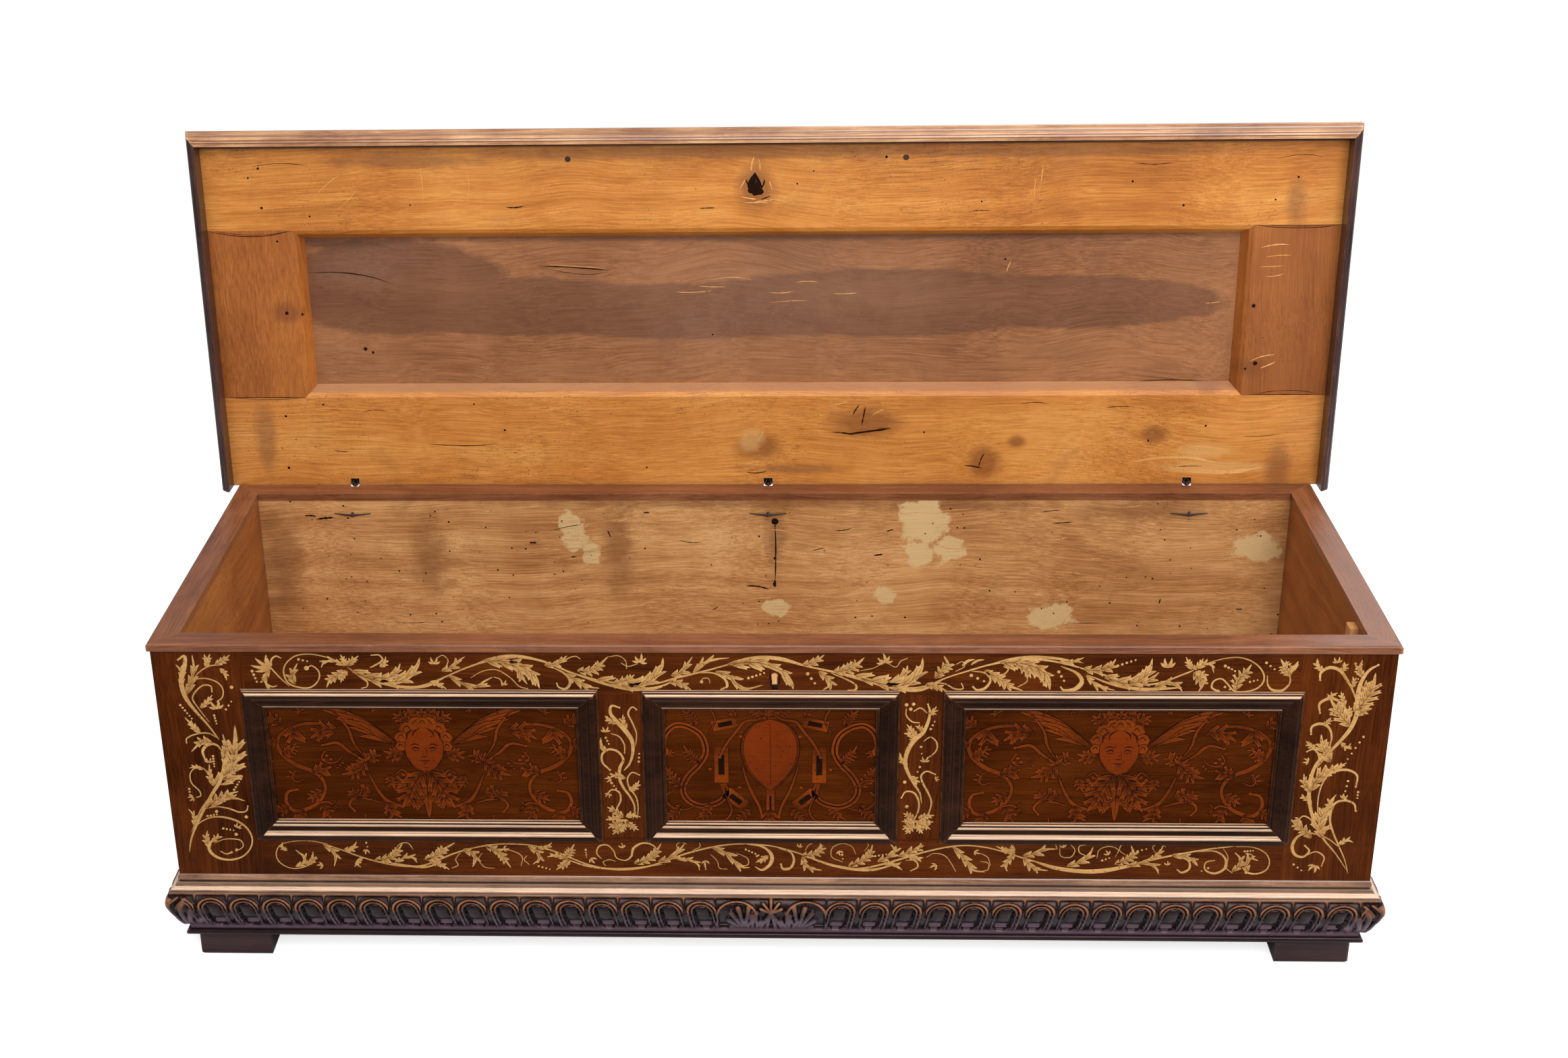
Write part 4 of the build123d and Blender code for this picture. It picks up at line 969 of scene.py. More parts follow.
# the drawings, from the middle of the chest and from the floor
topRail = """
stem 1.6 2.6 2.2 2.4 3.4 2.4 2 3 2 2.4 3.6 2.2 2.2 3.2 2 2.4 2 / -592 497  -575 484  -553 475  -528 468
  -503 465  -480 470  -455 481  -430 493  -405 503  -378 510  -350 513  -322 509  -300 501  -278 490
  -255 482  -230 475  -205 471  -180 470  -155 472  -130 480  -105 487  -80 494  -55 502  -30 509  0 512
  30 507  55 500  85 493  110 487  140 479  170 471  200 466  225 470  250 482  280 493  310 503
  345 510  380 511  410 506  440 497  470 487  500 477  525 472  550 476  575 487  592 495
stem 0.8 3.5 5 3.5 0.8 / -580 486  -550 473  -515 465  -480 467  -455 480
stem 0.8 2.8 4 2.8 0.8 / -415 500  -380 513  -345 515  -305 505
stem 0.8 4.9 7 4.9 0.8 / -270 486  -235 474  -195 464  -160 464  -130 476
stem 0.8 3.85 5.5 3.85 0.8 / -60 500  -25 512  15 513  50 503
stem 0.8 4.9 7 4.9 0.8 / 100 488  140 477  180 466  215 463  245 478
stem 0.8 3.5 5 3.5 0.8 / 310 504  350 514  395 514  440 506
stem 0.8 3.85 5.5 3.85 0.8 / 445 488  480 473  520 465  555 466  578 468
stem 1.4 2.2 2.4 / -677 466  -688 478  -697 490  -702 497    blade 3 0.08 / -702 496  -729 499
blade 2.8 0.08 / -702 496  -722 511    blade 3.4 0.08 / -702 496  -706 516
blade 2.6 0.08 / -702 496  -724 489    blade 2.4 0.08 / -702 496  -716 478
leaf 8 4 / -703 492  -709 482  -711 472  -702 465  -694 467
curl 3.4 2.6 1.2 / -700 498  -699 508  -692 514  -685 511    beads 4 2 / -728 490  -723 473
curl 1.2 1.4 1.8 2.4 2.2 1.8 1.6 / -596 498  -608 508  -625 514  -645 517.5  -665 514  -680 500
  -683 485  -677 470  -660 463.5  -645 465  -634 477  -633 490  -642 499  -650 495 / 3.6
leaf 12 4 / -668 470  -672 480  -669 490  -662 503    beads 3 1.7 / -660 509  -648 506
leaf 9 4 / -592 499  -596 507  -600 517    leaf 10 4 / -590 499  -584 507  -574 515
leaf 8 4 / -597 500  -612 507  -624 504  -629 496    leaf 13 4 / -595 492  -607 484  -618 476  -624 464
leaf 9 4 / -593 491  -600 482  -603 472
leaf 27 6 1 0.55 / -585 490  -560 478  -530 473  -507 481  -493 498  -488 512
leaf 15 4 1 0.6 / -560 480  -535 480  -522 490  -516 503
curl 3 2 1.2 / -575 482  -566 475  -566 466  -574 463
curl 2 2.8 1.4 / -560 496  -552 500  -541 508  -545 516  -556 516
leaf 8 3 / -545 497  -538 503  -536 514    sprig 90 11 4 190 / -468 503
leaf 9 3 / -476 473  -464 470  -453 462    leaf 10 4 / -458 491  -443 497  -436 505  -424 514
curl 1.6 1.4 1 / -452 497  -448 508  -455 516  -463 512
leaf 11 5 / -450 484  -430 471  -412 466  -398 475  -386 482
curl 1.8 1.2 / -386 482  -376 478  -374 468
curl 1 1.4 1.2 / -418 480  -400 491  -380 493  -362 481  -350 467  -338 463
sprig 60 8 3 150 / -372 470    leaf 25 6 0.6 1 / -398 507  -366 506  -340 496  -326 480  -321 463
leaf 14 4 0.5 1 / -372 505  -352 497  -345 482  -338 470
leaf 11 4 / -312 500  -298 502  -287 509  -280 516
curl 2 1.4 1 / -290 504  -278 512  -268 515  -262 511
curl 1.6 3.4 4.2 2.4 1.4 / -300 497  -284 487  -277 474  -284 463  -294 466  -296 472
leaf 12 4 / -284 487  -268 476  -254 467  -236 464    leaf 15 5 / -266 491  -247 492  -236 500  -222 515
curl 1.4 1.2 1 / -222 514  -208 516  -198 508  -197 496    sprig 80 13 5 240 / -178 507
curl 1 1.2 1 / -205 505  -195 499  -182 503
leaf 27 7 1 0.5 / -238 477  -205 469  -180 469  -160 480  -148 498  -145 513
leaf 13 4 / -215 472  -196 478  -186 486    leaf 11 4 / -138 476  -120 471  -106 461
leaf 12 4 / -134 484  -120 490  -113 500  -104 515    leaf 9 5 / -103 489  -92 502  -76 510  -52 513
curl 1.4 2.4 4 2 / -98 489  -76 489  -60 480  -56 468  -64 463
leaf 12 5 / -72 491  -53 484  -43 471  -28 464  -6 470    beads 5 1.8 / -26 481  -4 489
curl 1 1.2 1 / -80 472  -82 480  -90 480  -92 475 / 2.4
leaf 26 6 0.5 1 / -55 502  -25 506  -3 503  20 492  33 476  37 463
leaf 12 4 / 50 501  62 505  72 511  80 518    leaf 12 4 / 72 491  84 481  89 471  78 462
beads 3 2.2 / 57 488  67 473    curl 1.4 2 3.4 1.6 / 90 489  110 480  124 471  124 463  114 462
leaf 18 5 / 94 491  110 494  124 502  136 514    curl 1.2 1 / 130 493  148 497  158 503  162 507
sprig 100 14 5 230 / 164 507    curl 1 1.2 1 / 168 505  180 499  186 508  195 513
leaf 29 7 1 0.5 / 124 484  155 474  185 469  205 480  215 497  217 514
leaf 17 4 1 0.6 / 160 474  184 478  194 490  196 502    leaf 11 4 / 222 471  238 468  252 461
curl 1.4 2.2 1.4 / 228 474  248 473  262 465  274 465  272 473
leaf 15 4 / 236 481  244 493  252 503  246 517    curl 1.2 1 0.9 / 262 492  275 500  272 508  264 504
petal 31.512679 20 2.2 0.15 / 272 501    petal 24.064227 20 1.8 0.12 / 284 503
curl 1.4 3 4.2 2 / 285 493  304 490  312 479  305 466  294 463  288 468
beads 3 2.2 / 285 486  303 477    leaf 15 5 / 303 493  322 482  338 470  358 462
curl 1.4 2.2 1.2 / 318 488  330 488  336 496  330 500    curl 1.6 1 / 350 468  362 476  363 486
leaf 28 6 0.6 1 / 324 506  355 505  379 496  392 480  395 463
leaf 15 4 0.4 1 / 345 506  362 494  368 482
curl 1.6 4.6 7 4 1.6 / 408 501  430 491  439 477  430 465  415 463  410 468
beads 3 2.1 / 406 492  414 478    leaf 8 3 / 405 507  425 508  440 515
leaf 15 4 / 440 496  463 495  477 502  484 513    beads 5 1.8 / 487 502  511 511
leaf 9 4 / 444 486  457 473  470 467  486 463
leaf 25 6 1 0.6 / 470 483  500 474  520 480  531 494  534 514    leaf 12 4 / 505 475  530 478  545 492
leaf 11 4 / 540 468  558 475  572 471  579 461    sprig 90 15 4 150 / 556 500
leaf 9 4 / 590 497  585 505  580 516    leaf 9 4 / 592 496  600 505  604 514
leaf 8 4 / 596 497  607 505  616 503  620 491    leaf 13 4 / 592 491  600 481  606 473  601 461
leaf 9 4 / 594 492  606 488  612 478
curl 1.4 1.6 2.4 2.2 2 3 / 600 500  615 508  635 514  655 515  673 508  686 495  690 480  682 467
  665 461.5  650 463  640 474  631 482  621 478  619 468  628 462 / 2.6
leaf 17 5 / 653 464  655 480  664 492  671 505    beads 4 1.9 / 635 502  649 494
beads 3 1.4 / 671 477  681 480    beads 2 / 637 469  644 465
curl 1.4 2.6 4.4 2.4 1.2 / 724 490  726 476  717 464  704 464  696 472  694 486
leaf 17 5 / 726 487  719 498  710 513    petal 57.29578 21 3.4 -0.1 / 723 492
beads 3 1.8 / 691 507  703 497    petal 105.9454 17 3 / 722 494    petal 36.869897 17 3 / 722 494
"""

bottomRail = """
stem 1.4 2.4 3 2 1.8 2.2 2.4 2.8 2 1.8 2.2 3 2.2 1.8 2 3 2.6 1.6 / -650 203  -625 193  -600 182
  -570 172  -540 166  -510 166  -485 176  -460 188  -430 198  -400 204  -370 205  -340 202  -310 192
  -285 180  -265 171  -240 164  -215 161.5  -185 165  -155 175  -125 188  -95 198  -65 205  -35 207.5
  0 205  25 199  50 190  75 178  100 169  130 166  160 172  190 182  220 193  255 203  285 207  315 204
  340 197  365 188  395 178  425 170  460 166  490 168  520 174  550 183  580 191  610 198  640 204
  670 208
stem 0.6 3.4 3.4 0.6 / -575 176  -540 168  -505 164  -480 172
stem 0.6 3.2 3.2 0.6 / -300 182  -265 168  -215 163  -150 172
stem 0.6 4.6 4.6 0.6 / 60 186  100 170  150 164  195 178
stem 0.6 4.6 4.6 0.6 / 375 186  420 168  480 163  545 178
curl 1.3 1.4 1.6 1.4 1.2 / -645 203  -668 208  -692 208  -714 202  -723 187  -720 172  -706 161.5
  -690 161  -674 168  -664 178 / 1.4
leaf 9 4 / -696 163  -684 170  -683 181  -694 193    leaf 6 3 / -706 192  -713 197  -712 206
leaf 9 4 / -681 167  -671 175  -668 190    leaf 10 5 / -652 202  -639 192  -635 180  -639 164
leaf 9 4 / -622 192  -609 196  -602 208    leaf 6 3 / -597 181  -602 172  -609 164
leaf 14 5 / -577 175  -556 180  -544 191  -534 206    leaf 8 4 / -548 172  -532 181  -522 181  -515 172
leaf 15 5 / -503 177  -487 184  -476 194  -457 207    leaf 9 4 / -497 173  -481 169  -468 160
leaf 12 5 / -446 195  -432 188  -429 177  -434 165    leaf 13 5 / -414 202  -396 193  -386 179  -377 164
leaf 10 4 / -350 201  -337 191  -335 179  -345 170    leaf 7 3 / -336 198  -323 200  -315 208
leaf 13 5 / -297 181  -290 191  -282 206    leaf 7 3 / -298 181  -311 186  -323 183
leaf 11 4 / -290 179  -299 170  -311 161    leaf 14 5 / -195 172  -176 180  -164 192  -155 208
leaf 12 5 / -160 175  -140 184  -130 195  -121 207    leaf 7 4 / -132 180  -116 180  -103 173  -100 161
leaf 12 6 / -82 201  -62 192  -50 178  -38 168  -26 167    leaf 8 4 / 0 188  -8 180  -18 176
leaf 13 5 / 50 188  68 191  77 199  76 210    leaf 10 4 / 50 186  54 173  64 166  79 163
leaf 13 5 / 118 170  138 181  148 193  152 208    leaf 11 4 / 160 178  178 189  184 198  178 209
leaf 11 4 / 190 187  206 196  217 201  222 211    leaf 9 3 / 203 190  216 184  226 186
leaf 9 4 / 168 175  184 174  196 164    leaf 12 6 / 268 204  280 191  290 178  299 165  316 162
leaf 9 4 / 358 196  345 199  330 206    leaf 10 4 / 357 194  350 183  345 173  348 163
leaf 6 3 / 357 197  354 203  352 210    leaf 11 5 / 370 190  388 194  400 201  417 202
leaf 11 5 / 370 188  378 176  390 168  407 165    leaf 12 5 / 434 172  453 180  464 190  470 206
leaf 13 5 / 503 176  519 184  528 194  524 209    leaf 8 4 / 552 184  564 194  570 209
leaf 10 4 / 520 173  545 179  560 173  567 160    leaf 10 5 / 583 192  603 190  616 183  622 174
leaf 10 4 / 672 165  681 175  682 187  673 198    leaf 11 5 / 694 163  691 178  696 188  708 184
curl 1 1.6 1 / -592 179  -601 178  -606 170  -600 164
curl 0.9 1.4 1 / -548 188  -540 203  -527 206  -520 196
curl 1 1.6 1 / -450 190  -458 178  -455 168  -464 163
curl 0.8 1.2 0.8 / -418 190  -424 178  -416 165  -402 163
curl 0.8 1.2 0.9 / -402 197  -376 194  -360 184  -362 168
curl 0.8 1.2 0.8 / -352 186  -357 178  -350 170
curl 1.2 2.6 1.6 1.6 3.6 2 1.2 / -243 180  -250 190  -246 202  -234 204  -225 194  -221 182  -208 178
  -199 186  -196 199  -182 208  -167 204  -161 192  -166 180
curl 1 1.4 0.9 / -222 176  -232 179  -241 175  -238 169
curl 0.9 1.3 0.9 / -128 196  -133 204  -127 210  -119 207
curl 0.8 1.2 0.8 / -110 196  -99 202  -100 211    curl 0.7 1 0.7 / -84 190  -74 178  -71 166  -60 164
curl 0.8 1.4 0.9 / -46 192  -30 183  -29 172  -38 170
curl 1.2 3.6 6 4 1.4 / -30 207  -8 203  5 190  4 174  -8 163  -18 168
curl 1.2 3 4.2 2 / 16 200  33 194  38 180  33 167  22 165  19 173
curl 0.9 1.4 0.9 / 54 196  60 207  72 211  80 205
curl 0.8 1.2 0.9 / 128 190  122 204  108 209  94 202  93 186  108 178
curl 0.8 1.2 / 140 196  146 207  140 212    curl 1 2.6 1.4 / 200 181  214 181  218 170  208 163
curl 0.8 1.3 0.8 / 230 186  240 193  256 190  266 177  273 163
curl 0.8 1.2 0.8 / 302 196  318 188  323 174    curl 0.9 1.5 0.9 / 308 180  320 177  320 166  311 163
curl 0.8 1.4 0.9 / 395 200  402 210  414 211  418 202
curl 0.8 1.3 0.9 / 422 205  424 190  438 188  444 200  437 210
curl 0.9 1.6 1 / 463 190  451 196  450 207  462 210
curl 0.8 1.4 0.9 / 476 186  479 201  493 207  506 201  503 190
curl 0.9 1.4 0.9 / 518 192  508 200  511 210  522 210
curl 0.9 1.4 0.9 / 560 196  555 206  563 211  573 207
curl 1 3 3.4 1.4 / 594 190  608 183  610 170  600 163  593 168
curl 1.2 2.4 4.2 3 1.6 1.2 / 618 199  644 200  660 188  661 171  647 162  633 168  633 181  645 184
curl 0.8 1.4 1 / 655 206  664 190  663 172  672 163    curl 1 1.6 / 700 186  698 194  690 196
curl 1.4 1.5 2 3 / 670 208  698 207  717 197  724 182  720 168  706 161.5  692 164
sprig 180 9 3 150 / -656 166    sprig 250 8 3 150 / -588 193    sprig 0 8 3 150 / -386 197
sprig 300 10 3 150 / -258 181    sprig 100 8 3 150 / -212 200    sprig 270 9 3 150 / -91 178
sprig 60 7 3 150 / 45 203    sprig 280 8 3 150 / 104 196    sprig 200 10 3 150 / 245 172
sprig 330 8 3 150 / 300 197    sprig 100 8 3 150 / 427 205    sprig 120 8 3 150 / 492 193
sprig 90 7 3 150 / 578 176    sprig 90 6 3 150 / 222 204    beads 4 1.5 / -266 196  -265 183
beads 2 1.5 / -588 206  -587 199    beads 4 1.5 / -336 167  -320 162    beads 6 1.5 / -32 198  -9 186
beads 4 1.5 / 156 188  172 191    beads 3 1.5 / -92 172  -91 164    beads 3 1.5 / 534 199  546 203
beads 3 1.5 / 484 183  494 187    beads 4 1.5 / 687 200  699 201    beads 2 1.5 / 637 171  628 166
beads 2 1.5 / -16 187  -10 180    beads 2 1.5 / 108 190  109 183
"""

leftStile = """
curl 1.2 4.2 5.2 3.4 / -852 187  -846 212  -830 247  -808 286  -792 312  -784 340  -783 360
curl 0.8 2.4 1.2 / -845 222  -826 262  -800 296  -786 325
curl 1.6 3.4 6 7.4 5 2 / -787 378  -801 403  -818 428  -829 450  -831 475  -823 500  -822 514  -832 508
curl 1.2 2.4 1.6 / -798 407  -812 431  -818 448  -803 466  -790 466  -789 457
curl 1.4 2.4 1.6 / -788 381  -803 389  -821 387  -834 380  -835 373
curl 1.2 2 1.4 / -819 472  -809 477  -795 478  -780 472  -773 461  -775 448  -783 441
curl 1.2 2 1.4 / -815 475  -803 489  -788 498  -774 500
curl 1.6 3.2 4.6 2 / -784 357  -791 369  -803 371  -813 360  -811 345
curl 1.2 1.8 1.3 / -806 318  -816 331  -829 330  -836 320  -835 305  -826 294  -824 285  -830 282
curl 1.4 2.6 1.6 / -818 263  -803 266  -785 263  -771 257  -760 259  -757 267
curl 1.2 2.2 3.2 2.6 2 3.2 4.8 3 / -841 228  -829 240  -812 248  -793 248  -774 241  -761 228  -756 211
  -761 194  -773 181  -790 175  -807 177  -819 186  -822 199  -814 210
curl 1 1.8 1.2 / -813 203  -799 210  -784 211  -773 208  -771 198  -780 191
curl 1.6 2.4 / -806 190  -797 185  -789 188
leaf 30 7 / -800 303  -782 318  -770 345  -764 375  -762 402    leaf 14 4 / -788 318  -774 330  -760 352
leaf 11 5 / -784 345  -779 366  -781 388    leaf 13 4 / -797 372  -812 375  -830 358
leaf 9 4 / -813 389  -822 400  -833 415    leaf 12 6 / -826 452  -818 470  -811 495  -811 516
leaf 9 4 / -832 466  -829 488  -836 500    leaf 10 4 / -779 500  -768 507  -757 516
leaf 8 3 / -793 496  -790 506  -785 517    leaf 7 3 / -774 494  -767 486  -766 475
leaf 9 5 / -803 301  -807 318  -806 338    leaf 6 3 / -816 329  -826 333  -836 331
leaf 15 6 / -819 263  -802 277  -784 287  -768 292    leaf 8 4 / -810 266  -792 278  -775 281  -760 276
leaf 10 4 / -820 195  -824 210  -821 225    leaf 8 3 / -815 205  -808 214  -799 214
leaf 7 3 / -840 235  -838 250  -845 262    leaf 8 3 / -808 430  -797 441  -789 452
sprig 100 14 4 190 / -785 430    sprig 200 8 4 190 / -836 281    sprig 60 8 4 190 / -776 231
sprig 90 8 4 190 / -806 341    sprig 90 9 4 190 / -790 509    beads 6 / -837 435  -823 413
beads 5 / -799 351  -799 334    beads 6 / -774 295  -760 317    beads 3 / -772 428  -763 441
beads 4 / -790 418  -788 405    beads 3 / -840 296  -840 286    beads 4 / -818 250  -804 253
beads 4 / -797 229  -782 226    dots 2.6 / -760 464  -804 258  -761 249  -781 192  -779 219
"""

rightStile = """
curl 1 2.6 3.4 2.2 / 838 163  831 186  821 208  810 232  803 255  806 279  819 286  834 281  838 269
curl 1 2.8 4.8 5.6 3.4 / 836 168  816 198  799 219  786 241  776 265  770 292  769 319  774 343  782 357
curl 1 2.2 3.8 2 / 793 236  784 270  784 302  792 326  806 335  821 336  834 327  834 309
curl 2 5 6.6 5.4 2.4 / 776 340  790 363  805 384  817 404  823 428  821 452  823 475  832 495  844 504
curl 1.6 3.6 4.6 2 / 816 413  808 432  798 446  783 451  770 443  772 428
curl 1.6 3.2 4.4 2 / 790 370  792 389  787 404  775 411  763 406  763 394
curl 1.6 3.2 1.8 / 778 345  777 360  769 370  760 366
curl 1.6 4.2 5 2.2 / 820 448  812 467  803 482  792 496  778 500  767 492  767 480
curl 1 2.2 1.4 / 799 222  780 250  766 260  758 253
curl 1.4 2.6 4.8 3.4 2 / 822 207  802 223  779 231  761 226  754 210  759 195  771 191  779 201  772 210
curl 1.2 2.2 1.4 / 772 191  788 200  801 191  799 176    leaf 20 4 / 815 408  803 422  793 436  783 452
leaf 24 5 / 820 430  832 448  840 468  842 492    leaf 18 4 / 795 350  786 364  780 378  777 394
leaf 20 4 / 770 300  778 320  792 334  812 340    leaf 20 4 / 796 224  790 246  794 268  806 288
leaf 14 4 / 780 224  768 236  756 246  746 256    leaf 9 3 / 806 272  800 282  808 296
leaf 7 3 / 802 262  797 272  792 262    leaf 9 4 / 786 322  796 336  806 347
leaf 7 3 / 800 334  808 342  817 348    leaf 9 3 / 783 449  785 456  793 460
leaf 8 3 / 806 440  800 452  798 462    leaf 7 3 / 814 420  813 430  811 440
leaf 8 3 / 779 409  785 414  788 421    leaf 9 3 / 795 494  799 501  797 509
leaf 7 3 / 812 468  814 478  811 486    leaf 8 3 / 772 372  763 376  757 383
leaf 12 4 / 820 455  830 470  840 480    leaf 10 4 / 822 425  834 432  840 444
leaf 11 4 / 772 300  762 314  759 330    leaf 7 3 / 806 380  815 372  820 380
leaf 8 3 / 775 281  764 290  757 290    leaf 10 4 / 826 485  819 497  822 512
leaf 8 3 / 770 495  761 503  760 514    leaf 7 3 / 790 230  800 240  808 238
leaf 8 3 / 820 212  830 220  840 216    sprig 250 12 4 190 / 789 176    sprig 220 10 4 190 / 760 253
sprig 60 8 4 190 / 818 290    sprig 100 9 4 190 / 788 508    sprig 170 8 4 190 / 763 350
beads 4 / 822 318  819 293    beads 5 / 836 390  818 354    beads 4 / 813 506  819 482
beads 3 / 759 178  771 168    beads 3 / 838 300  838 290
"""

leftMuntin = """
curl 1.6 2.8 1.8 / -216 246  -219 263  -212 280  -214 294  -224 298  -230 292
curl 1.6 3 4.8 3.2 3.4 2.2 / -195 249  -192 269  -198 286  -207 301  -213 318  -211 336  -206 348
  -213 361  -226 365  -236 357  -236 343  -226 331
curl 1.2 2.4 1.6 / -189 249  -187 269  -190 287  -199 302  -201 317  -194 327  -184 323
curl 1.8 4.4 7 4.6 2 / -206 330  -197 342  -192 361  -193 380  -202 396  -213 410  -222 424  -220 436
  -209 433
curl 1.2 2.6 1.8 / -188 370  -186 391  -192 410  -197 424  -191 434  -185 430
curl 1.2 2.2 1.4 / -223 391  -211 386  -204 373  -204 359    leaf 11 4 / -209 252  -221 262  -232 269
leaf 9 3 / -205 252  -196 256  -184 252    leaf 11 4 / -211 243  -222 239  -232 233
leaf 10 4 / -209 241  -217 231  -226 222    leaf 8 3 / -206 241  -210 232  -214 225
leaf 10 4 / -203 243  -196 236  -187 230    leaf 8 3 / -213 249  -224 250  -235 247
leaf 9 4 / -199 296  -190 303  -184 314    leaf 8 3 / -213 408  -224 412  -230 420
leaf 9 4 / -200 398  -205 410  -204 422    leaf 8 3 / -230 362  -238 372  -237 384
leaf 8 3 / -204 318  -219 322  -226 318    sprig 270 9 4 190 / -209 247    sprig 90 9 4 190 / -230 394
sprig 200 8 4 190 / -226 316    sprig 250 7 4 190 / -229 291    beads 3 / -230 384  -226 374
beads 3 / -224 309  -218 300    beads 3 / -184 345  -183 358
"""

rightMuntin = """
curl 1.6 3 1.8 / 221 243  231 260  235 279  230 295  223 309  219 323  227 331  239 326
curl 1.6 3 1.8 / 209 246  216 263  217 280  210 295  198 297  192 287
curl 1.6 3.4 5.6 7 4.4 2 / 221 278  218 295  210 309  201 327  196 346  200 367  209 383  220 394
  227 412  229 428  226 440
curl 1.2 2.2 1.4 / 221 380  231 387  240 378  239 364  227 352
curl 1.2 2.2 1.6 / 196 434  196 422  204 412  214 410    curl 1.4 2.2 1.4 / 226 425  216 434  207 429
leaf 10 4 / 212 244  203 239  194 233    leaf 9 3 / 211 242  205 233  199 226
leaf 9 3 / 214 242  219 234  224 227    leaf 10 4 / 216 244  226 240  235 234
leaf 10 4 / 211 252  203 257  195 261    leaf 10 4 / 217 252  228 256  240 258
leaf 8 3 / 216 247  228 246  239 247    leaf 8 3 / 210 247  202 248  193 247
leaf 9 3 / 208 380  202 391  193 393    leaf 9 4 / 212 388  204 397  197 408
leaf 7 3 / 220 396  216 402  209 405    leaf 9 3 / 228 424  234 428  238 437
leaf 8 3 / 203 322  212 316  212 304    leaf 8 3 / 200 342  190 350  188 362
sprig 270 9 4 190 / 213 248    sprig 90 9 4 190 / 224 347    sprig 20 6 4 190 / 240 318
beads 2 / 217 338  214 330    beads 2 / 218 371  219 360    beads 3 / 231 400  236 412
dots 2.6 / 200 272  196 313  196 439  202 432  206 440
"""

keyhole = (4.0, 17.0, 459.0, 491.0)
for name, drawing, hole in (
    ("inlay_top_rail", topRail, keyhole),
    ("inlay_bottom_rail", bottomRail, None),
    ("inlay_left_stile", leftStile, None),
    ("inlay_right_stile", rightStile, None),
    ("inlay_left_muntin", leftMuntin, None),
    ("inlay_right_muntin", rightMuntin, None),
):
    art = startArt(name, 0.0, hole=hole)
    drawStrokes(art, drawing)
    hangArt(art, onFront(frontY), inlay, "chest")

# half of a side panel, and half of the centre panel, from the middle of each
scrollPanel = """
curl 2 4.4 5.6 4 2 / 84 322  72 292  58 273  35 266  14 277
curl 2 5 3 / 87 342  108 356  125 371  147 367    curl 1.6 4.4 2.4 / 86 346  101 370  107 394  119 413
curl 2 5 4 6 7 5 4 6.4 5 3 / 119 388  143 401  168 402  191 395  208 382  212 365  203 347  186 333
  166 324  152 310  149 294  156 277  172 263  196 256  208 270  205 288  190 293
curl 1.8 4.4 2.6 / 66 270  87 277  106 279  116 268  109 257
curl 1.4 3 2 / 134 277  140 266  132 258  146 272  160 270
curl 1.6 3 2.2 / 46 318  34 327  27 317  35 309  41 316
curl 1.4 2.4 1.6 / 52 262  60 245  76 236  92 240  94 250
curl 1.4 2.8 2 / 118 352  128 340  142 338  150 346  145 356
curl 1.2 2.2 1.6 / 176 312  190 306  196 314  190 324
curl 1.2 2.4 1.6 / 119 415  136 428  160 430  176 422
curl 1.2 2.4 1.6 / 110 420  96 434  78 436  70 428    leaf 14 4 / 30 350  44 352  60 358
leaf 14 4 / 8 404  14 418  22 432    leaf 13 4 / 18 402  30 413  42 420
leaf 24 7 / 6 322  20 300  30 276  40 262    leaf 15 5 / 14 318  34 306  46 292
leaf 17 5 / 124 392  140 392  152 386  164 378    leaf 18 5 / 186 395  186 384  170 370
leaf 13 4 / 206 352  196 356  186 366    leaf 14 4 / 166 322  150 326  138 316
leaf 12 4 / 152 290  166 282  178 276    leaf 13 4 / 84 284  94 290  92 302
leaf 11 4 / 100 279  108 288  118 290    leaf 10 4 / 54 318  52 306  46 294
leaf 16 5 / 86 342  96 330  108 322  124 318    leaf 13 4 / 84 342  74 350  72 362
leaf 13 4 / 204 400  216 410  228 412    leaf 11 4 / 212 372  224 372  232 380
leaf 12 4 / 206 262  218 258  230 264    leaf 11 4 / 156 268  150 254  158 244
leaf 12 4 / 184 258  190 246  202 240    leaf 13 4 / 58 272  54 256  40 246
sprig 60 15 4 190 / 87 342    sprig 20 12 4 190 / 193 316    sprig 200 11 4 190 / 190 363
sprig 190 9 4 190 / 70 428    sprig 10 9 4 190 / 176 424    sprig 190 9 4 190 / 16 277
beads 3 / 120 338  128 330    beads 4 / 222 340  226 320    beads 4 / 30 236  8 236
dots 2.6 / 137 344  147 343  142 350
"""

centrePanel = """
curl 2 4.2 3 / 0 424  14 412  34 408  46 392  60 372  70 350
curl 2 4.6 3 / 38 336  32 312  24 290  14 268  10 250
curl 1.6 3.4 2.2 / 106 268  124 262  142 268  150 282  142 292
curl 1.6 3.2 2 / 150 398  166 404  172 420  162 430    curl 1.4 3 2 / 118 300  136 312  152 308  156 296
curl 1.4 2.8 1.8 / 86 386  76 410  84 428  98 430    curl 1.4 3 1.8 / 62 286  54 262  62 246  78 244
leaf 14 4 / 8 416  20 426  34 436    leaf 17 5 / 126 298  142 320  150 338
leaf 15 5 / 98 340  112 352  122 370    leaf 15 5 / 104 400  112 416  126 430
leaf 14 4 / 84 272  92 256  108 246    leaf 15 5 / 126 270  140 254  158 246
leaf 13 4 / 152 372  164 360  170 342    leaf 13 4 / 26 262  40 250  46 238
leaf 11 4 / 150 292  160 304  172 310    leaf 11 4 / 48 414  54 428  66 436
sprig 60 12 4 190 / 160 322    sprig 200 9 4 190 / 142 356    sprig 330 10 4 190 / 160 276
dots 2.6 / 42 300  84 330  40 384
"""


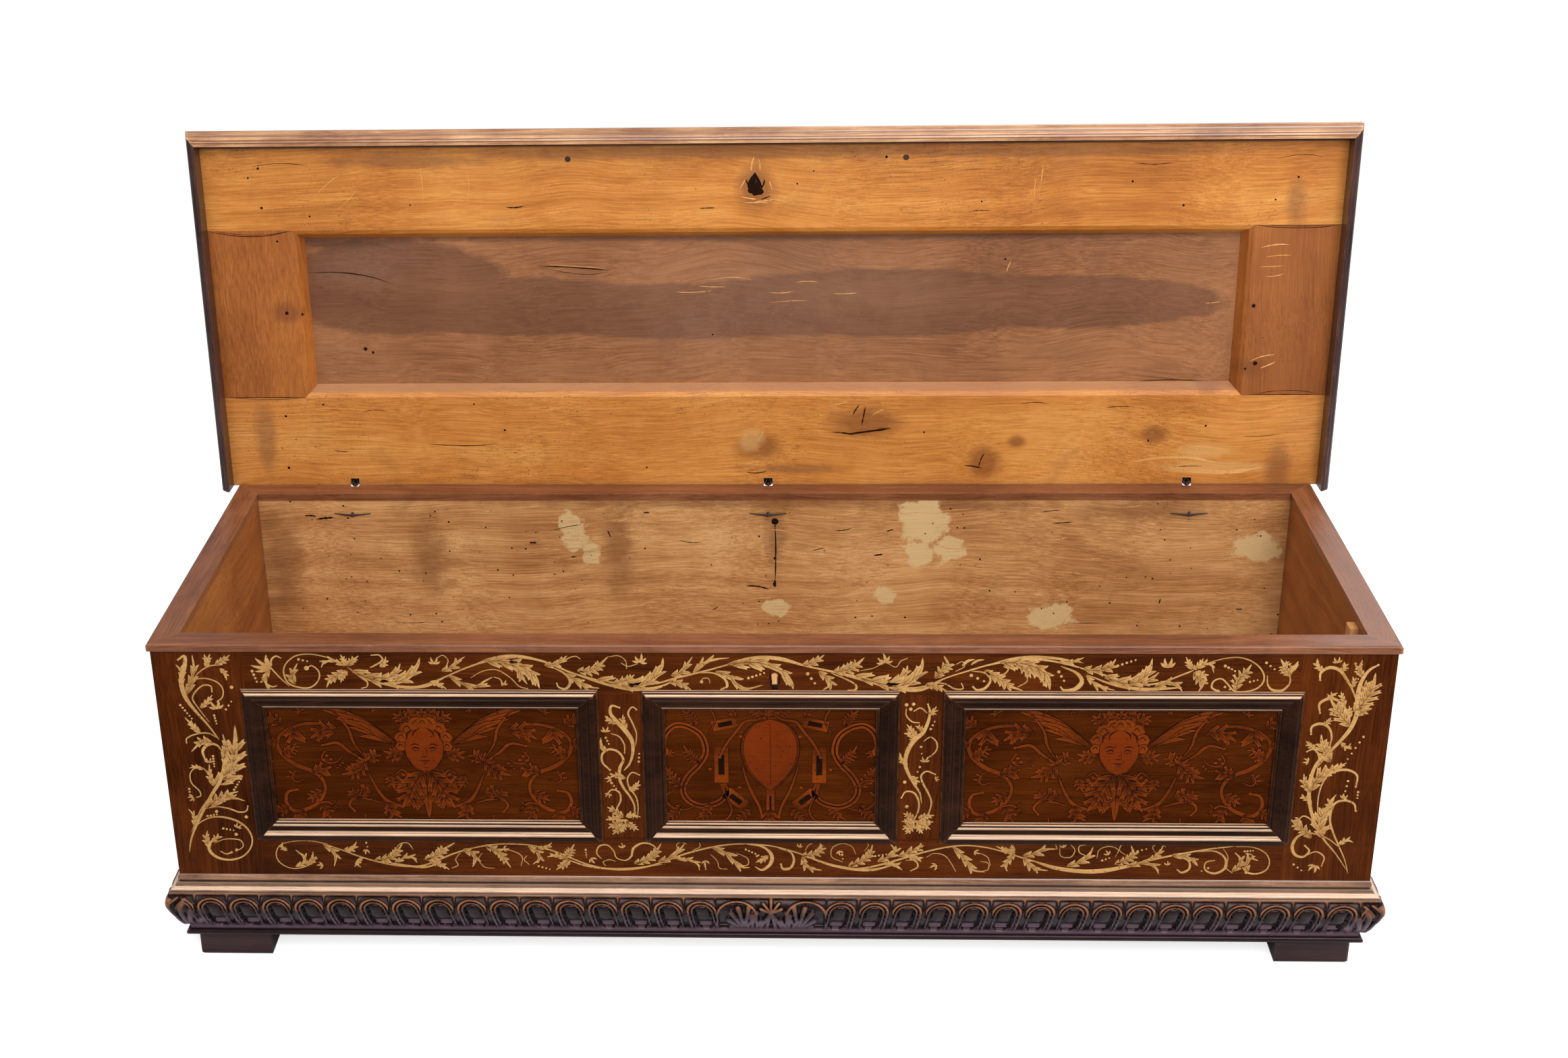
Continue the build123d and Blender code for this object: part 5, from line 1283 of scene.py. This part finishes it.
def drawWing(art):
    # feather by feather
    root = np.array((44.0, 372.0))
    for tip, half in (((186, 446), 6.5), ((162, 437), 6.5), ((142, 425), 6.0), ((124, 411), 6.0),
                      ((108, 397), 5.5), ((92, 382), 5.0)):
        reach = np.array(tip) - root
        nextLeaf(art)
        leafTo(art, root, tip, half, 0.07)
        strip(art, smooth([root + reach * 0.3, root + reach * 0.6 + (-3, 5), root + reach * 0.92], 7),
              0.5 * np.array((0.4, 1.0, 1.0, 1.0, 0.8, 0.5, 0.1)), dark, lift=2)


def drawFace(art, across, up, size):
    # a calm child's face of plain proportions, cut from one light wood and engraved; size is its height
    def spot(x, z):
        return across + x * size, up + z * size

    def engrave(points, wide):
        line = smooth([spot(*point) for point in points], 7)
        strip(art, line, size * wide * np.array((0.1, 0.6, 0.9, 1.0, 0.9, 0.6, 0.1)), dark, lift=2)

    art["base"] = 0.5
    for x, z, radius in ((-0.30, 0.42, 0.15), (0.30, 0.42, 0.15), (-0.12, 0.53, 0.16), (0.12, 0.53, 0.16),
                         (-0.42, 0.24, 0.13), (0.42, 0.24, 0.13), (0.0, 0.55, 0.13), (-0.44, 0.05, 0.10),
                         (0.44, 0.05, 0.10)):               # locks of hair
        art["laid"] = 0
        art["base"] += 0.02
        disc(art, spot(x, z), radius * size)
        engrave(((x - radius * 0.6, z - 0.02), (x, z + radius * 0.5), (x + radius * 0.5, z - 0.03)), 0.01)
    art["base"] += 0.09
    rows = np.linspace(0, 1, 15)
    middle = np.array([spot(0, 0.46 - 0.96 * t) for t in rows])
    half = size * 0.38 * np.sqrt(np.clip(1 - (2 * rows - 1) ** 2, 0.004, 1)) * (1.02 - 0.14 * rows)
    drawn(art, middle, half, (1.0, 0.75), fair)
    for way in (-1, 1):
        for points, wide in ((((0.08, 0.07), (0.17, 0.105), (0.28, 0.07)), 0.012),         # brow
                             (((0.08, -0.005), (0.16, 0.028), (0.25, -0.01)), 0.014),      # lids
                             (((0.09, -0.02), (0.16, -0.045), (0.24, -0.018)), 0.007),
                             (((0.30, -0.20), (0.27, -0.31), (0.16, -0.42)), 0.006),       # cheek
                             (((0.06, 0.44), (0.18, 0.36), (0.20, 0.25)), 0.014),          # hair
                             (((0.20, 0.42), (0.31, 0.32), (0.31, 0.18)), 0.014)):
            engrave([(x * way, z) for x, z in points], wide)
        art["base"] += 0.01
        disc(art, spot(way * 0.165, -0.006), size * 0.018, dark)
        art["base"] -= 0.01
    for points, wide in ((((0.04, 0.05), (0.045, -0.08), (0.055, -0.14)), 0.006),          # nose
                         (((-0.06, -0.15), (0.0, -0.175), (0.06, -0.15)), 0.010),
                         (((-0.11, -0.255), (0.0, -0.268), (0.11, -0.255)), 0.012),        # mouth
                         (((-0.06, -0.305), (0.0, -0.32), (0.06, -0.305)), 0.006),
                         (((-0.05, -0.40), (0.0, -0.41), (0.05, -0.40)), 0.005)):          # chin
        engrave(points, wide)
    art["base"] = 0.0


def drawStrap(art, points, width):
    # a cut strap with a dark slot along it
    line = smooth(points, 4 * len(points))
    drawn(art, line, np.full(len(line), width / 2), (0.5, 1.0))
    strip(art, line[2:-2], np.full(len(line) - 4, width * 0.12), dark, lift=2)


def drawBlock(art, points, width):
    # a straight block with a dark window
    start, end = line = np.array(points, float)
    strip(art, line, (width / 2 + 0.6,) * 2, dark)
    strip(art, line, (width / 2,) * 2, wood)
    window = np.array((start + (end - start) * 0.22, end - (end - start) * 0.22))
    strip(art, window, (width * 0.22,) * 2, dark, lift=2)


def drawShield(art):
    rows = np.linspace(0, 1, 19)
    line = np.array([(0, 412 - 116 * t) for t in rows])
    top = np.sqrt(np.clip(1 - (1 - rows / 0.4) ** 2, 0, 1))
    half = 38 * np.where(rows < 0.4, top, 1 - np.clip((rows - 0.4) / 0.6, 0, 1) ** 2.2)
    half = np.maximum(half, 0.6)
    art["base"] = 0.5
    strip(art, line, half + 4.6, dark)
    strip(art, line, half + 3.6, wood, (0.3, 0.3))
    strip(art, line, half + 0.7, dark, lift=2)
    strip(art, line, half, fair, (0.9, 0.6), lift=3)
    strip(art, line[1:-1], np.full(17, 0.3), dark, lift=4)
    art["base"] = 0.0


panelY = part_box("left_panel")[0].y
for name, middle in (("marquetry_left", -492.5), ("marquetry_right", 498.0)):
    art = startArt(name, 0.9)
    for way in (-1, 1):
        art["centre"], art["way"] = middle, way
        drawWing(art)
        drawStrokes(art, scrollPanel, swell=1.5)
    art["way"] = 1
    drawStrokes(art, "leaf 20 4 / 0 400  0 416  0 432    leaf 46 3 / 0 326  0 288  0 246")
    drawFace(art, 0, 362, 76)
    hangArt(art, onFront(panelY), marquetry, "chest")

art = startArt("marquetry_centre", 0.9)
for way, middle in ((-1, 2.0), (1, 6.0)):
    art["way"], art["centre"] = way, middle
    drawStrap(art, [(66, 306), (62, 290), (72, 275), (96, 268), (116, 277), (124, 296), (116, 318),
                    (100, 337), (90, 358), (95, 383), (112, 398), (132, 402), (147, 388), (151, 366),
                    (143, 355)], 9.5)
    drawBlock(art, [(68, 366), (68, 308)], 20)
    drawBlock(art, [(44, 408), (80, 400)], 17)
    drawBlock(art, [(34, 268), (62, 292)], 19)
    drawStrokes(art, centrePanel)
art["way"], art["centre"] = 1, 4.0
drawShield(art)
drawStrokes(art, "leaf 18 4 / 0 400  0 418  0 438")
drawStrap(art, [(0, 296), (0, 268), (0, 240)], 12)
drawStrokes(art, "leaf 22 3 / 0 262  -1 250  0 238")
hangArt(art, onFront(panelY), marquetry, "chest")
print("inlays and marquetry laid")

# age: nail holes, splits and torn wood; the putty marks are in the back board's wood material
chance = random.Random(11)
worn = (inlayMaterial("dark_hole", (26, 12, 5), (40, 20, 9), (16, 8, 4), 0.5, 0.4, 0.75, 0.05),
        inlayMaterial("torn_fibre", (206, 140, 72), (236, 180, 112), (176, 108, 50), 0.6, 0.4, 0.7, 0.05))


def anywhere(*spans):
    return [chance.uniform(*span) for span in spans]


def drawNicks(art, nicks, ink=0):
    # short splits: middle, length, width and slope in degrees; ink 0 is a dark hole, 1 torn fibre
    for x, z, length, width, slope in nicks:
        reach = length / 2 * unit(slope)
        bow = np.array((-reach[1], reach[0])) * chance.uniform(-0.12, 0.12)
        spot = np.array((x, z), float)
        line = smooth([spot - reach, spot - reach * 0.3 + bow, spot + reach * 0.4 + bow, spot + reach], 9)
        halves = width / 2 * np.array((0.1, 0.6, 0.9, 0.7, 1.0, 0.8, 0.9, 0.5, 0.1))
        strip(art, line, halves * np.array([chance.uniform(0.7, 1.2) for point in line]), ink, lift=1 + ink)


def drawHoles(art, holes):
    for x, z, radius in holes:
        turned = chance.uniform(0, 3)
        reach = radius * np.array((math.cos(turned), math.sin(turned)))
        line = np.array((x, z)) + np.outer(np.linspace(-1, 1, 7), reach)
        strip(art, line, radius * np.array((0.15, 0.7, 0.95, 1.0, 0.85, 0.7, 0.15)), 0)


def onLid(name):
    # the inside of a lid board: across, and up from the hinge
    start = hingeAxis + lidDown * (nearest(name, lidDown) - lidDown @ hingeAxis)

    def place(x, v, proud):
        spots = start / mm + np.outer(v, lidAlong) - np.outer(proud, lidDown)
        return x, spots[:, 1], spots[:, 2]
    return place


art = startArt("lid_rail_wear")
drawHoles(art, ((-795, 530, 2.0), (-795, 467, 2.2), (-720, 453, 1.6), (-775, 413, 1.8), (-770, 295, 3.0),
                (-745, 293, 2.0), (-724, 140, 1.8), (-787, 120, 2.0), (-790, 30, 2.4), (-478, 140, 1.5),
                (-812, 515, 1.6), (-560, 470, 1.4), (-310, 541, 4.0), (212, 540, 4.0), (182, 541, 2.2),
                (330, 470, 1.5), (560, 500, 1.8), (640, 462, 2.0), (812, 505, 1.8), (780, 470, 1.6),
                (760, 300, 3.2), (770, 205, 3.6), (755, 196, 2.0), (700, 100, 1.8), (610, 75, 1.8),
                (250, 90, 1.6), (-200, 30, 1.6), (-430, 95, 1.8), (45, 500, 1.5), (70, 520, 1.3)))
for x in (-818, 818):                         # where the stiles meet the rails
    for v in (151.9, 429.9):
        drawNicks(art, ((x, v, 134, 1.5, 0), (x + 5, v, 120, 1.0, 0)))
drawNicks(art, ((-500, 72, 118, 1.4, 0), (-395, 467, 30, 2.4, 4), (-700, 60, 26, 1.6, -4),
                (160, 92, 74, 4.2, 8), (120, 88, 40, 2.6, -8), (152, 118, 34, 2.4, 80),
                (140, 128, 22, 2.0, 60), (-95, 462, 26, 1.8, 2), (330, 455, 30, 1.4, 0),
                (560, 132, 44, 1.4, 2), (-640, 128, 40, 1.2, 0), (425, 138, 46, 1.3, 0),
                (790, 84, 60, 1.2, 4), (812, 535, 70, 1.2, 2), (-20, 22, 34, 2.2, 4), (680, 30, 40, 1.4, 0),
                (330, 30, 30, 2.6, -10), (344, 42, 26, 2.0, 70), (-760, 533, 90, 1.0, 0),
                (590, 529, 60, 1.2, 0)))
leafAt(art, (-19, 483), 92, 35, 11.5, 0.05)   # the torn hole round the stub of the catch
drawHoles(art, ((-20, 494, 11), (-27, 490, 5), (-12, 488, 5)))
drawNicks(art, ((-30, 499, 20, 3.0, 120), (-8, 500, 16, 2.6, 70), (-4, 478, 16, 2.0, 20)))
drawNicks(art, ((-24, 531, 24, 2.6, 78), (-14, 530, 20, 2.2, 96), (-31, 478, 26, 2.4, -10),
                (-6, 474, 30, 2.2, 6), (-40, 500, 18, 2.0, 60), (4, 497, 16, 1.8, 110),
                (-20, 470, 40, 1.6, 0), (650, 36, 150, 5.0, 0), (720, 27, 150, 6.5, 1),
                (700, 20, 110, 3.0, -1), (112, 140, 30, 1.8, 10), (175, 124, 22, 1.8, 30),
                (420, 505, 44, 1.4, 84), (412, 490, 30, 1.2, 88), (-690, 500, 60, 0.9, 40),
                (-660, 480, 50, 0.8, 44), (-540, 500, 60, 0.8, 92), (-470, 495, 60, 0.8, 86),
                (785, 396, 44, 1.8, 6), (792, 380, 40, 1.4, 4), (782, 364, 36, 1.2, 2),
                (788, 350, 30, 1.2, 8), (780, 214, 40, 1.6, 16), (790, 202, 26, 2.4, 24),
                (-18, 80, 40, 1.0, 60)), 1)
hangArt(art, onLid("lid_front_rail"), worn, "lid")

art = startArt("lid_panel_wear")
drawNicks(art, ((-667, 346, 138, 1.8, -8), (-308, 361, 116, 2.2, -4), (-300, 357, 96, 1.2, -3),
                (-610, 166, 60, 2.0, 0), (-250, 164, 120, 1.6, 0), (60, 165, 150, 1.6, 0),
                (380, 166, 160, 1.6, 0), (640, 168, 120, 1.6, 0)))
drawHoles(art, ((-652, 228, 3.2), (-640, 222, 2.2), (372, 372, 1.8), (-90, 250, 1.4)))
drawNicks(art, ((-120, 322, 60, 1.4, 2), (-90, 330, 44, 1.2, -2), (20, 320, 40, 1.4, 2),
                (60, 336, 36, 1.2, 0), (120, 318, 40, 1.2, 2), (-308, 364, 90, 1.0, -4),
                (378, 360, 20, 1.4, 70), (-60, 340, 70, 1.0, 0), (30, 304, 60, 1.0, 3),
                (700, 300, 24, 1.2, 6)), 1)
hangArt(art, onLid("lid_panel"), worn, "lid")

# painted shade: dark plugs in the seats of the hinges, behind their eyes, where shade falls and the
# background would show through
plugs = []
for x in (-682, -2, 676):
    bpy.ops.mesh.primitive_cube_add(size=1, location=(x * mm, 0.2772, 0.5405))
    plug = bpy.context.object
    plug.scale = (0.016, 0.0012, 0.0190)
    plugs.append(plug)
for plug in plugs:
    plug.select_set(True)
bpy.context.view_layer.objects.active = plugs[0]
bpy.ops.object.join()
hingeSeatShade = bpy.context.object
hingeSeatShade.name = "hinge_seat_shade"
bpy.ops.object.transform_apply(location=True, rotation=True, scale=True)
hingeSeatShade.data.materials.append(worn[0])
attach(hingeSeatShade, "lid")

art = startArt("keyhole_wear")
drawNicks(art, ((4.6, 481, 26, 2.4, 92), (16.6, 480, 24, 2.4, 88), (10.5, 468.0, 10, 2.4, 0),
                (5.6, 472, 12, 1.8, 80)))
hangArt(art, onFront(frontY), worn, "chest")

art = startArt("back_board_wear")
drawNicks(art, ((-752, 494, 20, 3.4, -4), (-728, 490, 30, 4.0, 6), (-388, 446, 12, 3.6, 0),
                (-322, 420, 10, 2.2, 0), (-130, 448, 36, 1.6, -6), (178, 424, 16, 3.2, 10),
                (196, 468, 12, 2.6, 20), (-90, 326, 10, 2.4, 30), (-262, 462, 14, 2.4, -70),
                (455, 502, 30, 1.6, 6), (475, 482, 34, 1.8, 4), (640, 340, 10, 2.4, 80),
                (770, 326, 12, 2.2, 0), (-20, 364, 40, 3.0, -10), (-330, 474, 50, 1.4, 12),
                (120, 470, 30, 1.6, 10), (80, 434, 22, 2.0, 14), (-600, 300, 60, 1.2, 0),
                (-200, 500, 10, 2.4, 0), (520, 300, 60, 1.0, 0)))
drawHoles(art, [anywhere((-800, 800), (290, 510), (0.8, 1.7)) for hole in range(70)])
drawNicks(art, ((9, 428, 120, 2.6, 90), (9, 372, 14, 5.0, 90)))
drawHoles(art, ((9, 484, 6.0), (9, 418, 2.6), (8, 371, 3.0)))
drawNicks(art, [anywhere((-800, 800), (290, 512), (14, 60), (0.8, 1.9), (-9, 12)) for nick in range(90)], 1)
hangArt(art, onFront(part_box("back_board")[0].y), worn, "chest")
print("age marks set")
